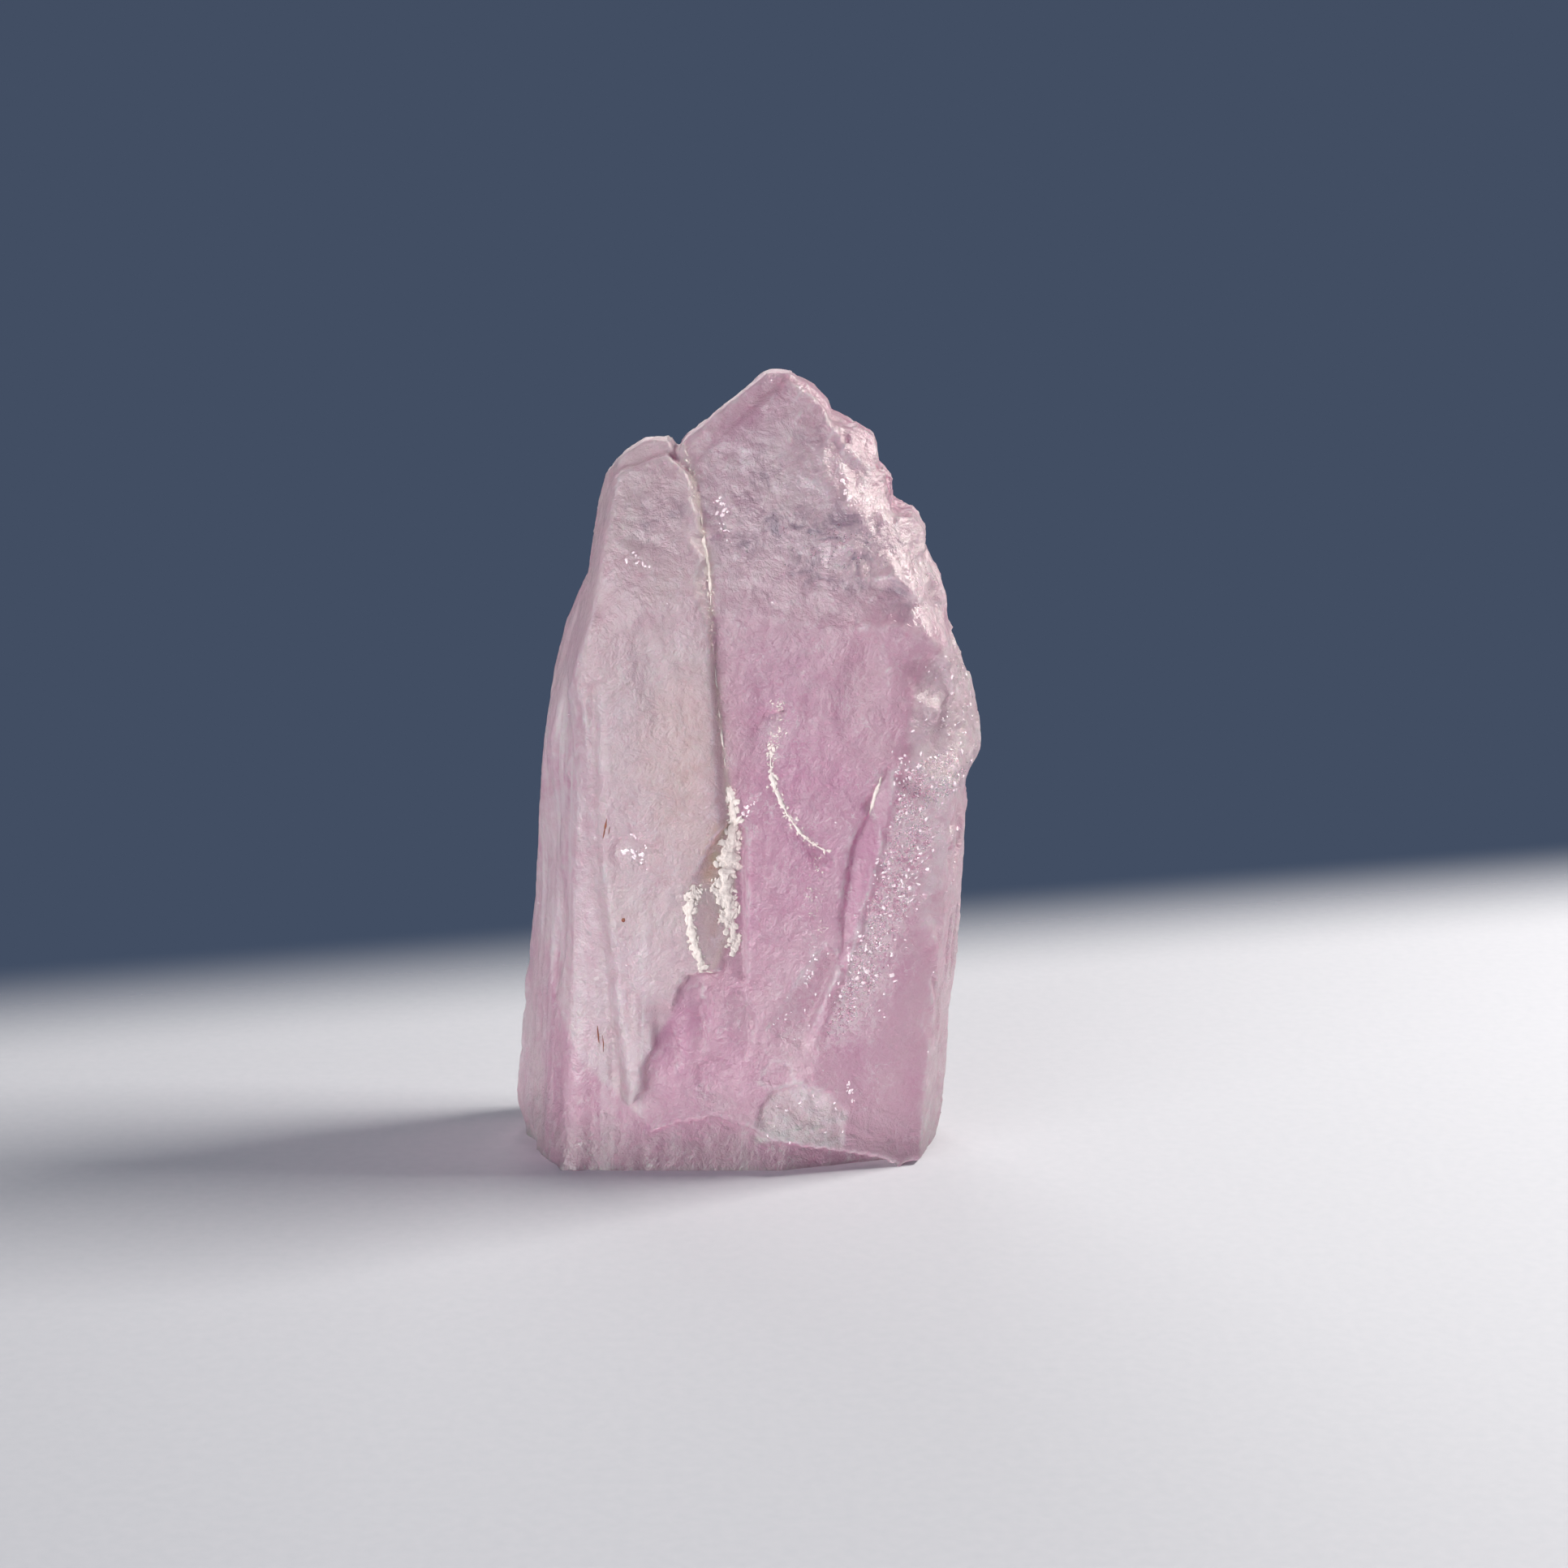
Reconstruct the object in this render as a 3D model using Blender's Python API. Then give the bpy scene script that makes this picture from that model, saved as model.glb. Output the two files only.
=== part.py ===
"""A raw kunzite crystal: two tabular crystals grown side by side, joined in one solid.

Lengths in the named values are millimetres. +Z is up, -Y is the front and +X is the right hand side.
The crystal stands on its flat foot, with the origin under the middle of its box.
"""
import math
import random

import bmesh
import bpy
from mathutils import Matrix, Vector

MM = 0.001

# Overall sizes, and the depths of the front and back of each form
HEIGHT = 40.0
BODY_FRONT = -4.8
LEFT_BODY_BACK = 6.15
MAIN_BODY_BACK = 6.4
GROWTH_FRONT = -8.0
PLATE_BACK = 1.0
KNOB_BACK = 3.0
# Chips are cut in from clear of the surface, and their floors end them inside these depths
CHIP_DEPTHS_FRONT = (-12.0, -3.0)
CHIP_DEPTHS_BACK = (12.0, 3.0)
CUT_TOLERANCE = 1e-7

# Frosted rose kunzite
ROSE = (0.72, 0.50, 0.64, 1.0)
ROSE_ROUGHNESS = 0.35
KUNZITE_IOR = 1.66
KUNZITE_CLARITY = 0.7

# Body of the left crystal: front outline as (x, z), from the foot up the striated side to the finger tip
LEFT_BODY_OUTLINE = [
    (-11.6, 0.0), (-12.1, 1.2), (-12.3, 2.9), (-12.0, 5.4), (-11.4, 9.8), (-11.0, 12.4), (-10.8, 15.8),
    (-10.4, 20.7), (-9.8, 24.6), (-9.2, 27.0), (-8.4, 28.9), (-7.95, 29.7), (-7.7, 31.5), (-7.4, 33.4),
    (-7.0, 34.8), (-6.0, 36.1), (-5.0, 36.8), (-3.8, 36.8), (-3.35, 36.0), (-2.6, 33.0), (-1.8, 24.0),
    (-0.6, 12.0), (0.0, 0.0),
]
LEFT_BODY_FACES = [
    ((-8.8, -4.7, 12.0), (-9.4, -4.7, 1.0), (-11.7, 0.6, 1.0)),
    ((-11.5, 0.0, 3.0), (-11.2, 0.0, 8.0), (-12.3, 2.6, 3.0)),
    ((-8.0, -4.2, 28.0), (-8.4, -4.8, 20.0), (-9.9, 0.5, 24.0)),
    ((-12.2, 2.4, 3.0), (-10.5, 2.4, 20.0), (-9.3, 6.2, 10.0)),
    ((-8.0, -4.7, 29.0), (-2.0, -5.0, 29.2), (-4.5, -1.9, 36.4)),
    ((-8.3, 1.2, 30.5), (-7.2, 0.9, 34.4), (-7.3, -3.4, 30.6)),
    ((-8.0, 6.2, 24.0), (-2.0, 6.2, 25.6), (-4.6, 1.6, 36.0)),
    ((-9.8, 2.6, 24.0), (-6.6, 1.6, 34.8), (-6.4, 6.2, 24.6)),
    ((-6.4, 0.2, 35.9), (-4.2, 0.0, 36.7), (-5.2, 2.6, 35.2)),
    ((-2.9, 6.2, 2.0), (-3.4, 6.2, 24.0), (-1.6, 4.6, 12.0)),
]
LEFT_INSIDE = (-4.0, -2.0, 15.0)

# Body of the main crystal: front outline from the foot under the seam over the peak to the right foot
MAIN_BODY_OUTLINE = [
    (-4.4, 0.0), (-4.4, 12.0), (-4.2, 24.0), (-3.9, 34.6), (-3.15, 36.7), (-1.7, 37.9), (0.3, 39.4),
    (1.0, HEIGHT), (2.1, HEIGHT), (3.4, 39.2), (4.1, 38.4), (4.2, 37.9), (5.1, 37.5), (6.0, 36.7),
    (6.4, 36.0), (6.4, 35.5), (7.0, 35.0), (7.2, 34.3), (7.3, 33.6), (8.1, 33.2), (8.75, 32.4),
    (8.85, 31.3), (9.6, 30.0), (10.0, 28.8), (10.1, 27.2), (10.4, 26.5), (10.9, 22.0), (11.5, 19.0),
    (11.2, 17.1), (11.1, 12.0), (10.9, 9.3), (10.5, 7.2), (10.4, 1.8), (9.9, 0.0),
]
MAIN_BODY_FACES = [
    ((1.8, -5.2, 4.0), (6.6, -5.2, 20.0), (9.0, -3.2, 8.0)),
    ((9.6, -3.6, 16.0), (8.1, -3.8, 0.5), (10.1, 3.0, 0.5)),
    ((11.3, 2.2, 17.0), (10.5, 2.2, 5.0), (7.6, 6.6, 10.0)),
    ((-3.0, -5.0, 29.0), (8.0, -4.8, 29.0), (1.5, -0.9, HEIGHT)),
    ((-3.0, 6.4, 26.6), (8.0, 6.4, 23.5), (1.5, 1.1, HEIGHT)),
    ((10.6, 2.0, 24.0), (7.2, 1.2, 35.0), (3.0, 6.4, 27.0)),
    ((7.4, -4.6, 30.0), (9.8, -0.6, 29.6), (6.9, 0.2, 34.6)),
    ((-3.1, -0.6, 36.8), (0.4, -0.2, 39.6), (-1.8, 3.0, 36.9)),
    ((-3.4, 4.6, 12.0), (-3.1, 4.8, 25.0), (-1.2, 6.4, 12.0)),
]
MAIN_INSIDE = (3.0, -2.0, 15.0)

# Front of the left crystal: its right hand side is the seam, its lower edge is broken off in a long tooth
LEFT_OUTLINE = [
    (-4.0, 36.3), (-3.4, 35.8), (-2.75, 35.2), (-2.4, 34.3), (-2.2, 32.7), (-1.8, 31.1), (-1.6, 27.9),
    (-1.5, 25.1), (-1.2, 23.4), (-1.0, 21.4), (-0.85, 19.4), (-0.6, 18.0), (-0.6, 14.8), (-0.8, 12.7),
    (-1.2, 10.8), (-2.8, 10.6), (-3.5, 9.6), (-4.1, 7.6), (-5.1, 6.0), (-5.2, 3.9), (-5.9, 3.5),
    (-7.3, 5.2), (-8.9, 6.1), (-9.6, 8.1), (-10.3, 10.0), (-10.8, 12.1), (-10.7, 15.8), (-10.3, 20.7),
    (-9.7, 24.6), (-9.1, 27.0), (-8.3, 28.9), (-7.85, 29.7), (-7.6, 31.5), (-7.3, 33.2), (-6.7, 34.7),
    (-5.8, 35.8), (-4.9, 36.3),
]
LEFT_FACES = [
    ((-8.2, -5.7, 8.0), (-1.2, -6.2, 8.0), (-1.6, -6.1, 28.0)),
    ((-7.2, -5.8, 20.0), (-7.0, -5.8, 6.0), (-9.9, -4.5, 13.0)),
    ((-9.8, -4.6, 6.0), (-9.5, -4.6, 20.0), (-11.1, -0.8, 13.0)),
    ((-8.5, -5.5, 28.0), (-7.4, -5.75, 19.0), (-9.7, -3.0, 24.0)),
    ((-8.2, -5.6, 29.0), (-1.7, -6.15, 29.4), (-4.5, -2.8, 36.4)),
    ((-7.2, -4.6, 31.0), (-7.8, -3.4, 30.6), (-6.4, -2.7, 35.2)),
    ((-8.35, 1.2, 30.5), (-7.3, 0.9, 34.4), (-7.5, -3.4, 30.6)),
    ((-6.2, -2.2, 35.4), (-4.0, -2.4, 36.2), (-5.2, 0.6, 35.9)),
    ((-1.5, -6.2, 21.0), (-2.1, -6.2, 30.0), (-1.0, -5.3, 21.0)),
]

# Front of the main crystal: the plate right of the seam, whose lower edge hangs over the foot
MAIN_OUTLINE = [
    (-3.2, 36.5), (-3.2, 24.0), (-2.2, 11.0), (-5.6, 8.0), (-5.9, 5.0), (-5.4, 2.9), (-4.9, 2.1),
    (-3.7, 2.6), (-1.6, 3.0), (0.2, 2.4), (0.8, 1.9), (3.7, 1.3), (6.6, 0.5), (7.6, 0.0), (9.7, 0.15),
    (10.25, 1.9), (10.35, 7.2), (10.75, 9.4), (10.9, 12.0), (11.0, 17.0), (10.7, 22.0), (10.3, 26.3),
    (9.95, 27.3), (9.85, 28.7), (9.45, 29.9), (8.7, 31.2), (8.6, 32.3), (7.95, 33.05), (7.15, 33.4),
    (7.05, 34.2), (6.85, 34.9), (6.25, 35.4), (6.2, 36.0), (5.85, 36.6), (5.0, 37.35), (4.1, 37.75),
    (3.95, 38.3), (3.25, 39.0), (2.1, 39.7), (1.1, 39.7), (0.4, 39.1), (-1.6, 37.7),
]
MAIN_FACES = [
    ((-1.0, -5.5, 5.0), (5.5, -6.3, 5.0), (4.0, -6.0, 28.0)),
    ((2.6, -6.1, 4.0), (7.5, -6.25, 20.0), (9.6, -4.4, 8.0)),
    ((10.2, -4.0, 16.0), (8.7, -4.3, 0.5), (10.3, 2.0, 0.5)),
    ((-2.0, -5.5, 28.6), (7.6, -6.2, 29.6), (1.5, -1.5, 39.7)),
    ((8.2, -5.4, 30.0), (9.6, -2.5, 30.0), (5.9, -3.4, 35.0)),
    ((-2.4, -3.5, 35.2), (1.0, -2.1, 38.4), (-1.2, -0.9, 37.9)),
]

# The clear knob on the right flank, with a step under it
KNOB_OUTLINE = [
    (9.0, 19.9), (11.9, 20.2), (12.05, 21.6), (11.85, 23.4), (11.45, 24.7), (10.85, 25.9), (10.4, 26.5),
    (9.9, 27.6), (8.9, 26.4), (8.3, 23.6), (7.5, 21.6), (7.6, 20.4),
]
KNOB_FACES = [
    ((7.4, -6.6, 20.5), (8.7, -5.6, 27.4), (11.2, -3.4, 21.5)),
    ((10.0, -6.0, 24.0), (11.9, -0.8, 21.0), (10.6, -1.0, 26.6)),
    ((12.0, 1.6, 21.0), (10.2, 1.6, 27.0), (9.5, 4.0, 23.0)),
    ((9.6, -4.4, 26.0), (11.0, -3.2, 24.4), (10.2, -1.2, 27.0)),
]
KNOB_INSIDE = (9.5, 0.0, 23.0)

# Chips and steps on the front, each an outline in the front view and a floor through three points
FRONT_CHIPS = {
    "window": (
        [(0.5, 1.6), (0.5, 3.0), (1.2, 4.4), (2.6, 4.8), (4.1, 4.3), (5.0, 3.3), (4.8, 1.2), (3.0, 1.7)],
        ((0.5, -5.65, 1.6), (5.0, -5.95, 1.4), (2.7, -5.3, 4.8)),
    ),
    "small_window": (
        [(0.6, 4.9), (1.3, 6.2), (2.2, 5.9), (2.4, 5.0), (1.4, 4.6)],
        ((0.6, -5.6, 4.9), (2.4, -5.75, 5.0), (1.5, -5.35, 6.2)),
    ),
    "strip": (
        [(3.9, 12.3), (4.6, 11.4), (3.8, 9.4), (2.7, 6.8), (1.0, 7.7), (1.8, 9.0), (2.8, 10.8)],
        ((3.9, -6.1, 12.3), (1.0, -5.8, 7.7), (4.0, -5.35, 9.6)),
    ),
    "trench": (
        [(6.1, 19.2), (6.7, 17.3), (6.3, 15.9), (5.6, 13.4),
         (5.0, 10.4), (4.6, 11.3), (4.8, 14.4), (5.2, 17.3)],
        ((4.8, -5.65, 14.4), (6.6, -6.2, 17.4), (5.3, -6.2, 11.2)),
    ),
    "upper_trench": (
        [(7.0, 21.4), (7.1, 19.0), (6.3, 17.9), (5.8, 19.4)],
        ((5.8, -5.75, 19.4), (7.1, -6.15, 20.4), (6.4, -6.1, 17.9)),
    ),
    "seam_wedge": (
        [(-0.9, 18.4), (-1.8, 17.2), (-2.6, 15.5), (-2.75, 14.0),
         (-2.5, 12.4), (-2.1, 10.5), (0.0, 10.3), (0.0, 18.0)],
        ((-2.75, -6.05, 14.8), (-2.1, -6.05, 10.6), (-0.7, -5.25, 14.0)),
    ),
    "flake": (
        [(-6.7, 16.9), (-6.2, 17.5), (-5.0, 17.6), (-4.5, 16.4), (-5.6, 15.8), (-6.4, 16.1)],
        ((-6.7, -5.8, 16.0), (-4.5, -5.95, 16.0), (-5.5, -5.4, 17.5)),
    ),
    "vein_step": (
        [(1.9, 24.0), (1.25, 22.7), (1.2, 21.4), (1.4, 20.6),
         (1.7, 19.6), (2.2, 18.5), (2.8, 17.7), (3.6, 17.1),
         (4.3, 16.4), (1.6, 15.6), (0.2, 18.6), (-0.1, 22.0), (0.9, 23.8)],
        ((-0.1, -5.62, 22.0), (1.5, -5.5, 20.6), (3.4, -5.72, 17.2)),
    ),
    "brow": (
        [(-1.0, 29.6), (0.8, 30.2), (3.0, 29.4), (5.2, 30.3),
         (7.4, 29.6), (7.2, 28.6), (4.6, 28.2), (1.6, 28.6)],
        ((-1.0, -5.5, 28.4), (7.4, -6.15, 28.4), (3.0, -5.2, 30.2)),
    ),
    "flake_a": (
        [(-4.6, 8.6), (-3.9, 8.8), (-3.3, 6.0), (-3.9, 5.2), (-4.7, 6.4)],
        ((-4.7, -5.15, 7.0), (-3.4, -4.85, 7.0), (-3.9, -5.1, 5.2)),
    ),
    "flake_b": (
        [(-3.2, 9.6), (-2.3, 9.9), (-1.9, 7.4), (-2.5, 5.8), (-3.2, 7.2)],
        ((-3.2, -5.3, 8.0), (-2.0, -5.0, 8.0), (-2.5, -5.25, 5.8)),
    ),
    "flake_c": (
        [(-2.6, 5.6), (-1.7, 6.2), (-0.6, 5.0), (-0.8, 3.9), (-2.2, 4.2)],
        ((-2.6, -5.1, 4.4), (-0.7, -5.3, 4.4), (-1.6, -5.0, 6.0)),
    ),
    "flake_d": (
        [(-1.2, 9.2), (-0.4, 9.8), (0.4, 8.2), (0.1, 6.2), (-0.7, 6.0), (-1.1, 7.4)],
        ((-1.2, -5.5, 8.0), (0.4, -5.3, 8.0), (-0.4, -5.45, 6.0)),
    ),
    "tooth_side": (
        [(-6.4, 3.0), (-5.3, 4.4), (-4.6, 3.4), (-4.9, 1.6)],
        ((-6.4, -5.1, 3.4), (-4.7, -5.3, 3.0), (-5.3, -4.95, 4.4)),
    ),
    "rim_scar": (
        [(9.0, 16.6), (10.2, 17.0), (10.4, 13.6), (9.4, 11.2), (8.6, 12.6)],
        ((9.0, -5.6, 16.0), (8.7, -5.5, 12.4), (10.4, -4.3, 14.0)),
    ),
}

# Steps on the back, where cleavage took off long splinters
BACK_CHIPS = {
    "back_splinter": (
        [(-8.6, 23.0), (-4.4, 25.4), (-2.2, 21.0), (-2.9, 12.0), (-2.4, 4.0), (-3.6, -1.0), (-9.4, -1.0)],
        ((-8.6, 5.7, 14.0), (-2.4, 5.95, 14.0), (-3.6, 5.7, 0.0)),
    ),
    "back_step": (
        [(2.2, -1.0), (1.6, 6.0), (2.8, 12.6), (3.6, 18.4), (5.6, 20.6), (8.6, 17.0), (8.8, -1.0)],
        ((2.2, 6.05, 8.0), (8.6, 5.2, 8.0), (4.4, 6.0, 20.0)),
    ),
    "back_splinter_low": (
        [(-1.4, -1.0), (-1.2, 5.4), (0.2, 9.0), (1.0, 5.0), (1.2, -1.0)],
        ((-1.4, 6.3, 4.0), (1.2, 5.8, 4.0), (0.0, 6.35, 9.0)),
    ),
}

# Growth lines: spindle shaped furrows spread over a face.
# Each field has its near and far edge as (x, y), its heights, how many lines, their half lengths and radii,
# and how far the line leans to the left per millimetre down.
FURROW_SIDES = 8
FURROW_RINGS = 7
FURROW_SINK = 0.45
FURROW_FIELDS = {
    "left_line": ((-7.5, -5.6), (-9.7, -4.6), (10.0, 20.0), 6, (5.0, 9.0), (0.3, 0.5), 0.05),
    "flank_line": ((-9.8, -4.4), (-10.8, -1.8), (10.0, 20.0), 6, (5.0, 9.0), (0.3, 0.5), 0.06),
    "foot_line": ((-6.4, -4.8), (-9.2, -4.8), (1.0, 5.0), 6, (3.0, 5.0), (0.3, 0.5), 0.04),
    "toe_line": ((-9.5, -4.5), (-11.7, 0.7), (1.0, 7.0), 7, (4.0, 7.0), (0.35, 0.6), 0.06),
    "front_line": ((-6.9, -5.9), (-4.4, -6.1), (7.5, 14.0), 5, (2.6, 5.0), (0.25, 0.4), 0.03),
    "back_line": ((-8.4, 6.1), (7.4, 6.3), (3.0, 18.0), 17, (6.0, 12.0), (0.35, 0.75), 0.0),
    "back_right_line": ((7.9, 6.0), (10.8, 2.6), (3.0, 17.0), 6, (5.0, 9.0), (0.3, 0.6), -0.03),
    "back_left_line": ((-11.9, 3.0), (-9.7, 5.8), (4.0, 17.0), 6, (5.0, 9.0), (0.3, 0.6), 0.08),
    "right_line": ((9.9, -3.2), (10.9, 1.6), (3.0, 16.0), 5, (3.4, 7.0), (0.25, 0.5), -0.04),
}

# Shell shaped breaks: a point on the surface, the way it faces, half length, half width, depth and
# turn in degrees
SCOOPS = {
    "cheek": ((3.3, -5.1, 31.0), (0.1, -0.92, 0.39), 1.0, 0.6, 0.25, 25),
    "temple": ((5.9, -5.0, 31.9), (0.2, -0.9, 0.35), 2.3, 1.3, 0.3, -40),
    "temple_low": ((6.6, -5.7, 29.6), (0.2, -0.95, 0.2), 1.6, 0.8, 0.25, 65),
    "brow_left": ((0.2, -5.0, 31.4), (-0.1, -0.92, 0.38), 2.0, 0.7, 0.2, 75),
    "peak": ((2.4, -3.0, 36.4), (0.1, -0.9, 0.42), 2.2, 0.9, 0.22, -35),
    "finger": ((-5.4, -3.8, 34.2), (-0.1, -0.9, 0.4), 1.7, 0.8, 0.2, 20),
    "finger_belt": ((-5.0, -4.6, 32.2), (-0.1, -0.9, 0.4), 1.7, 0.5, 0.2, 80),
    "shoulder": ((-6.7, -5.5, 29.4), (-0.3, -0.95, 0.2), 1.5, 0.8, 0.25, 35),
    "flank": ((-9.2, -3.2, 22.6), (-0.8, -0.6, 0.1), 3.6, 0.9, 0.35, 6),
    "flank_low": ((-9.4, -2.9, 12.0), (-0.8, -0.6, 0.0), 3.0, 0.7, 0.3, -8),
    "belly": ((4.8, -6.2, 24.2), (0.0, -1.0, 0.05), 3.4, 1.3, 0.22, -20),
    "cheekbone": ((-4.6, -5.97, 24.4), (0.0, -1.0, 0.05), 3.8, 1.2, 0.18, 12),
    "knob_shell": ((9.9, -4.6, 22.6), (0.5, -0.85, 0.1), 1.9, 1.1, 0.5, -35),
    "knob_crown": ((9.3, -5.3, 25.2), (0.3, -0.9, 0.3), 1.6, 0.8, 0.35, 40),
    "knob_edge": ((11.3, -2.6, 22.8), (0.9, -0.4, 0.1), 1.7, 0.8, 0.35, 10),
    "ledge": ((8.2, -6.0, 20.4), (0.3, -0.9, -0.2), 1.3, 0.6, 0.35, 60),
    "rim": ((9.6, -3.4, 29.0), (0.7, -0.7, 0.2), 2.2, 0.8, 0.35, 5),
    "rim_low": ((10.6, -2.0, 17.6), (0.8, -0.6, 0.0), 2.6, 0.7, 0.35, -6),
    "rim_foot": ((9.9, -2.6, 6.0), (0.9, -0.5, 0.0), 3.2, 0.8, 0.3, 8),
    "slope_a": ((4.2, -1.2, 38.2), (0.6, -0.4, 0.7), 1.0, 0.5, 0.25, 15),
    "slope_b": ((7.2, -1.6, 34.0), (0.7, -0.4, 0.5), 1.2, 0.6, 0.3, -20),
    "slope_c": ((8.9, -1.4, 30.9), (0.8, -0.4, 0.4), 1.5, 0.7, 0.35, 20),
    "back_cheek": ((-5.4, 5.3, 27.0), (-0.3, 0.9, 0.3), 3.4, 1.5, 0.5, 25),
    "back_temple": ((6.4, 5.0, 25.6), (0.5, 0.8, 0.3), 3.2, 1.3, 0.5, -30),
    "back_crown": ((0.4, 3.7, 33.0), (0.0, 0.93, 0.37), 3.6, 1.4, 0.35, 35),
    "back_crown_low": ((1.6, 5.0, 28.6), (0.0, 0.93, 0.37), 3.2, 1.0, 0.3, 70),
    "back_flank": ((9.6, 4.2, 19.6), (0.7, 0.7, 0.1), 3.0, 1.0, 0.4, -10),
    "heel": ((10.2, 4.2, 0.9), (0.6, 0.6, -0.5), 2.0, 1.0, 0.6, 70),
    "toe": ((-11.7, 0.4, 0.7), (-0.8, -0.4, -0.45), 1.8, 0.9, 0.5, 70),
    "left_heel": ((-9.7, 5.4, 0.8), (-0.6, 0.6, -0.5), 2.2, 1.0, 0.6, 75),
}

# Edges that small breaks have blunted: both ends, the way the edge faces, and how many breaks
WORN_EDGES = {
    "left_edge": ((-7.1, -5.8, 6.5), (-7.3, -5.8, 27.0), (-0.4, -0.9, 0.0), 8),
    "flank_edge": ((-9.8, -4.6, 9.0), (-9.5, -4.6, 21.0), (-0.8, -0.6, 0.0), 6),
    "seam_edge": ((-1.5, -6.0, 27.5), (-0.8, -6.0, 12.0), (0.5, -0.85, 0.0), 9),
    "upper_seam": ((-2.5, -3.6, 34.6), (-1.7, -5.8, 29.0), (0.6, -0.8, 0.2), 4),
    "lower_tooth": ((-4.2, -6.0, 7.4), (-5.3, -6.0, 4.6), (0.6, -0.7, -0.3), 4),
    "brow_edge": ((-1.0, -5.6, 28.7), (7.4, -6.1, 29.3), (0.0, -0.95, 0.3), 7),
    "facet_edge": ((7.2, -6.2, 19.0), (2.2, -6.0, 2.4), (0.3, -0.95, 0.0), 8),
    "rim_edge": ((8.8, -4.4, 1.6), (10.3, -4.0, 19.0), (0.7, -0.7, 0.0), 8),
    "overhang": ((-3.6, -5.3, 2.7), (6.4, -6.1, 0.7), (0.0, -0.7, -0.7), 8),
    "peak_edge": ((-2.2, -3.3, 35.4), (1.0, -2.0, 38.3), (-0.4, -0.8, 0.5), 4),
    "slope_edge": ((8.2, -5.3, 30.2), (4.2, -2.4, 37.0), (0.6, -0.7, 0.3), 7),
    "left_wall": ((-7.9, -2.4, 30.0), (-9.9, 0.6, 23.6), (-0.9, -0.3, 0.2), 5),
    "back_left_edge": ((-12.0, 2.5, 4.0), (-10.5, 2.5, 19.0), (-1.0, 0.1, 0.0), 6),
    "back_heel_edge": ((-9.2, 6.3, 3.0), (-8.9, 6.3, 21.0), (-0.5, 0.85, 0.0), 5),
    "back_brow": ((-6.6, 6.4, 25.4), (5.6, 6.4, 24.4), (0.0, 0.95, 0.3), 8),
    "back_right_edge": ((7.8, 6.3, 3.0), (8.0, 6.3, 20.0), (0.5, 0.85, 0.0), 6),
    "right_heel_edge": ((10.5, 2.3, 4.0), (11.2, 2.3, 17.0), (1.0, 0.2, 0.0), 6),
    "back_peak": ((-0.4, 1.8, 38.4), (5.4, 2.6, 35.6), (0.0, 0.8, 0.6), 5),
}
WORN_LENGTHS = (0.5, 1.3)
WORN_WIDTHS = (0.25, 0.55)
WORN_DEPTHS = (0.1, 0.24)
WORN_TURN = 70.0

# Build of a shell shaped break: its facets, its full height over its depth, and how uneven its facets are
SCOOP_DETAIL = 2
SCOOP_SINK = 3.0
SCOOP_ROUGHNESS = 0.035
CHANCE_SEED = 11

# Blunt lumps on the broken right slope: a front outline, its front and back depth, and the face that
# bevels it
LUMPS = {
    "cream_lump": (
        [(4.6, 36.2), (5.6, 35.2), (6.35, 35.6), (6.55, 36.2), (6.3, 36.9), (5.4, 37.5), (4.9, 37.3)],
        -2.7, 0.6, ((4.8, -2.6, 36.6), (6.5, -1.6, 36.2), (5.4, -1.5, 37.4)),
    ),
    "slope_lump": (
        [(5.8, 34.6), (6.6, 33.9), (7.2, 34.1), (7.3, 34.7), (6.9, 35.2), (6.1, 35.3)],
        -3.2, 0.4, ((5.9, -3.1, 34.6), (7.3, -2.0, 34.4), (6.4, -2.2, 35.3)),
    ),
    "ear_lump": (
        [(7.0, 31.9), (8.2, 31.0), (8.95, 31.5), (8.9, 32.3), (8.3, 33.2), (7.4, 33.2)],
        -4.2, 0.6, ((7.1, -4.4, 32.0), (9.0, -2.6, 31.8), (8.0, -3.1, 33.2)),
    ),
}
LUMP_INSIDE = (4.0, 0.0, 30.0)


def slab(outline, front, back):
    """A flat outline in the front view, given as (x, z), extruded from the depth front to back."""
    form = bmesh.new()
    corners = [form.verts.new((x * MM, front * MM, z * MM)) for x, z in outline]
    pushed = bmesh.ops.extrude_face_region(form, geom=[form.faces.new(corners)])
    moved = [item for item in pushed["geom"] if isinstance(item, bmesh.types.BMVert)]
    bmesh.ops.translate(form, verts=moved, vec=(0.0, (back - front) * MM, 0.0))
    bmesh.ops.recalc_face_normals(form, faces=form.faces[:])
    return form


def cleave(form, face, inside):
    """Splits the form along the plane through three points and keeps the side with the inside point."""
    a, b, c = (Vector(point) * MM for point in face)
    normal = (b - a).cross(c - a).normalized()
    if normal.dot(Vector(inside) * MM - a) > 0:
        normal.negate()
    everything = form.verts[:] + form.edges[:] + form.faces[:]
    bmesh.ops.bisect_plane(
        form, geom=everything, dist=CUT_TOLERANCE, plane_co=a, plane_no=normal, clear_outer=True
    )
    rim = [edge for edge in form.edges if edge.is_boundary]
    bmesh.ops.holes_fill(form, edges=rim, sides=0)
    return form


def named(name, form):
    """Turns the form into a named object with flat faces that point outwards."""
    bmesh.ops.recalc_face_normals(form, faces=form.faces[:])
    mesh = bpy.data.meshes.new(name)
    form.to_mesh(mesh)
    form.free()
    thing = bpy.data.objects.new(name, mesh)
    bpy.context.scene.collection.objects.link(thing)
    return thing


def grown(name, outline, front, back, faces, inside):
    """One crystal form: its front outline as a slab, split along each of its faces."""
    form = slab(outline, front, back)
    for face in faces:
        cleave(form, face, inside)
    return named(name, form)


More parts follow.
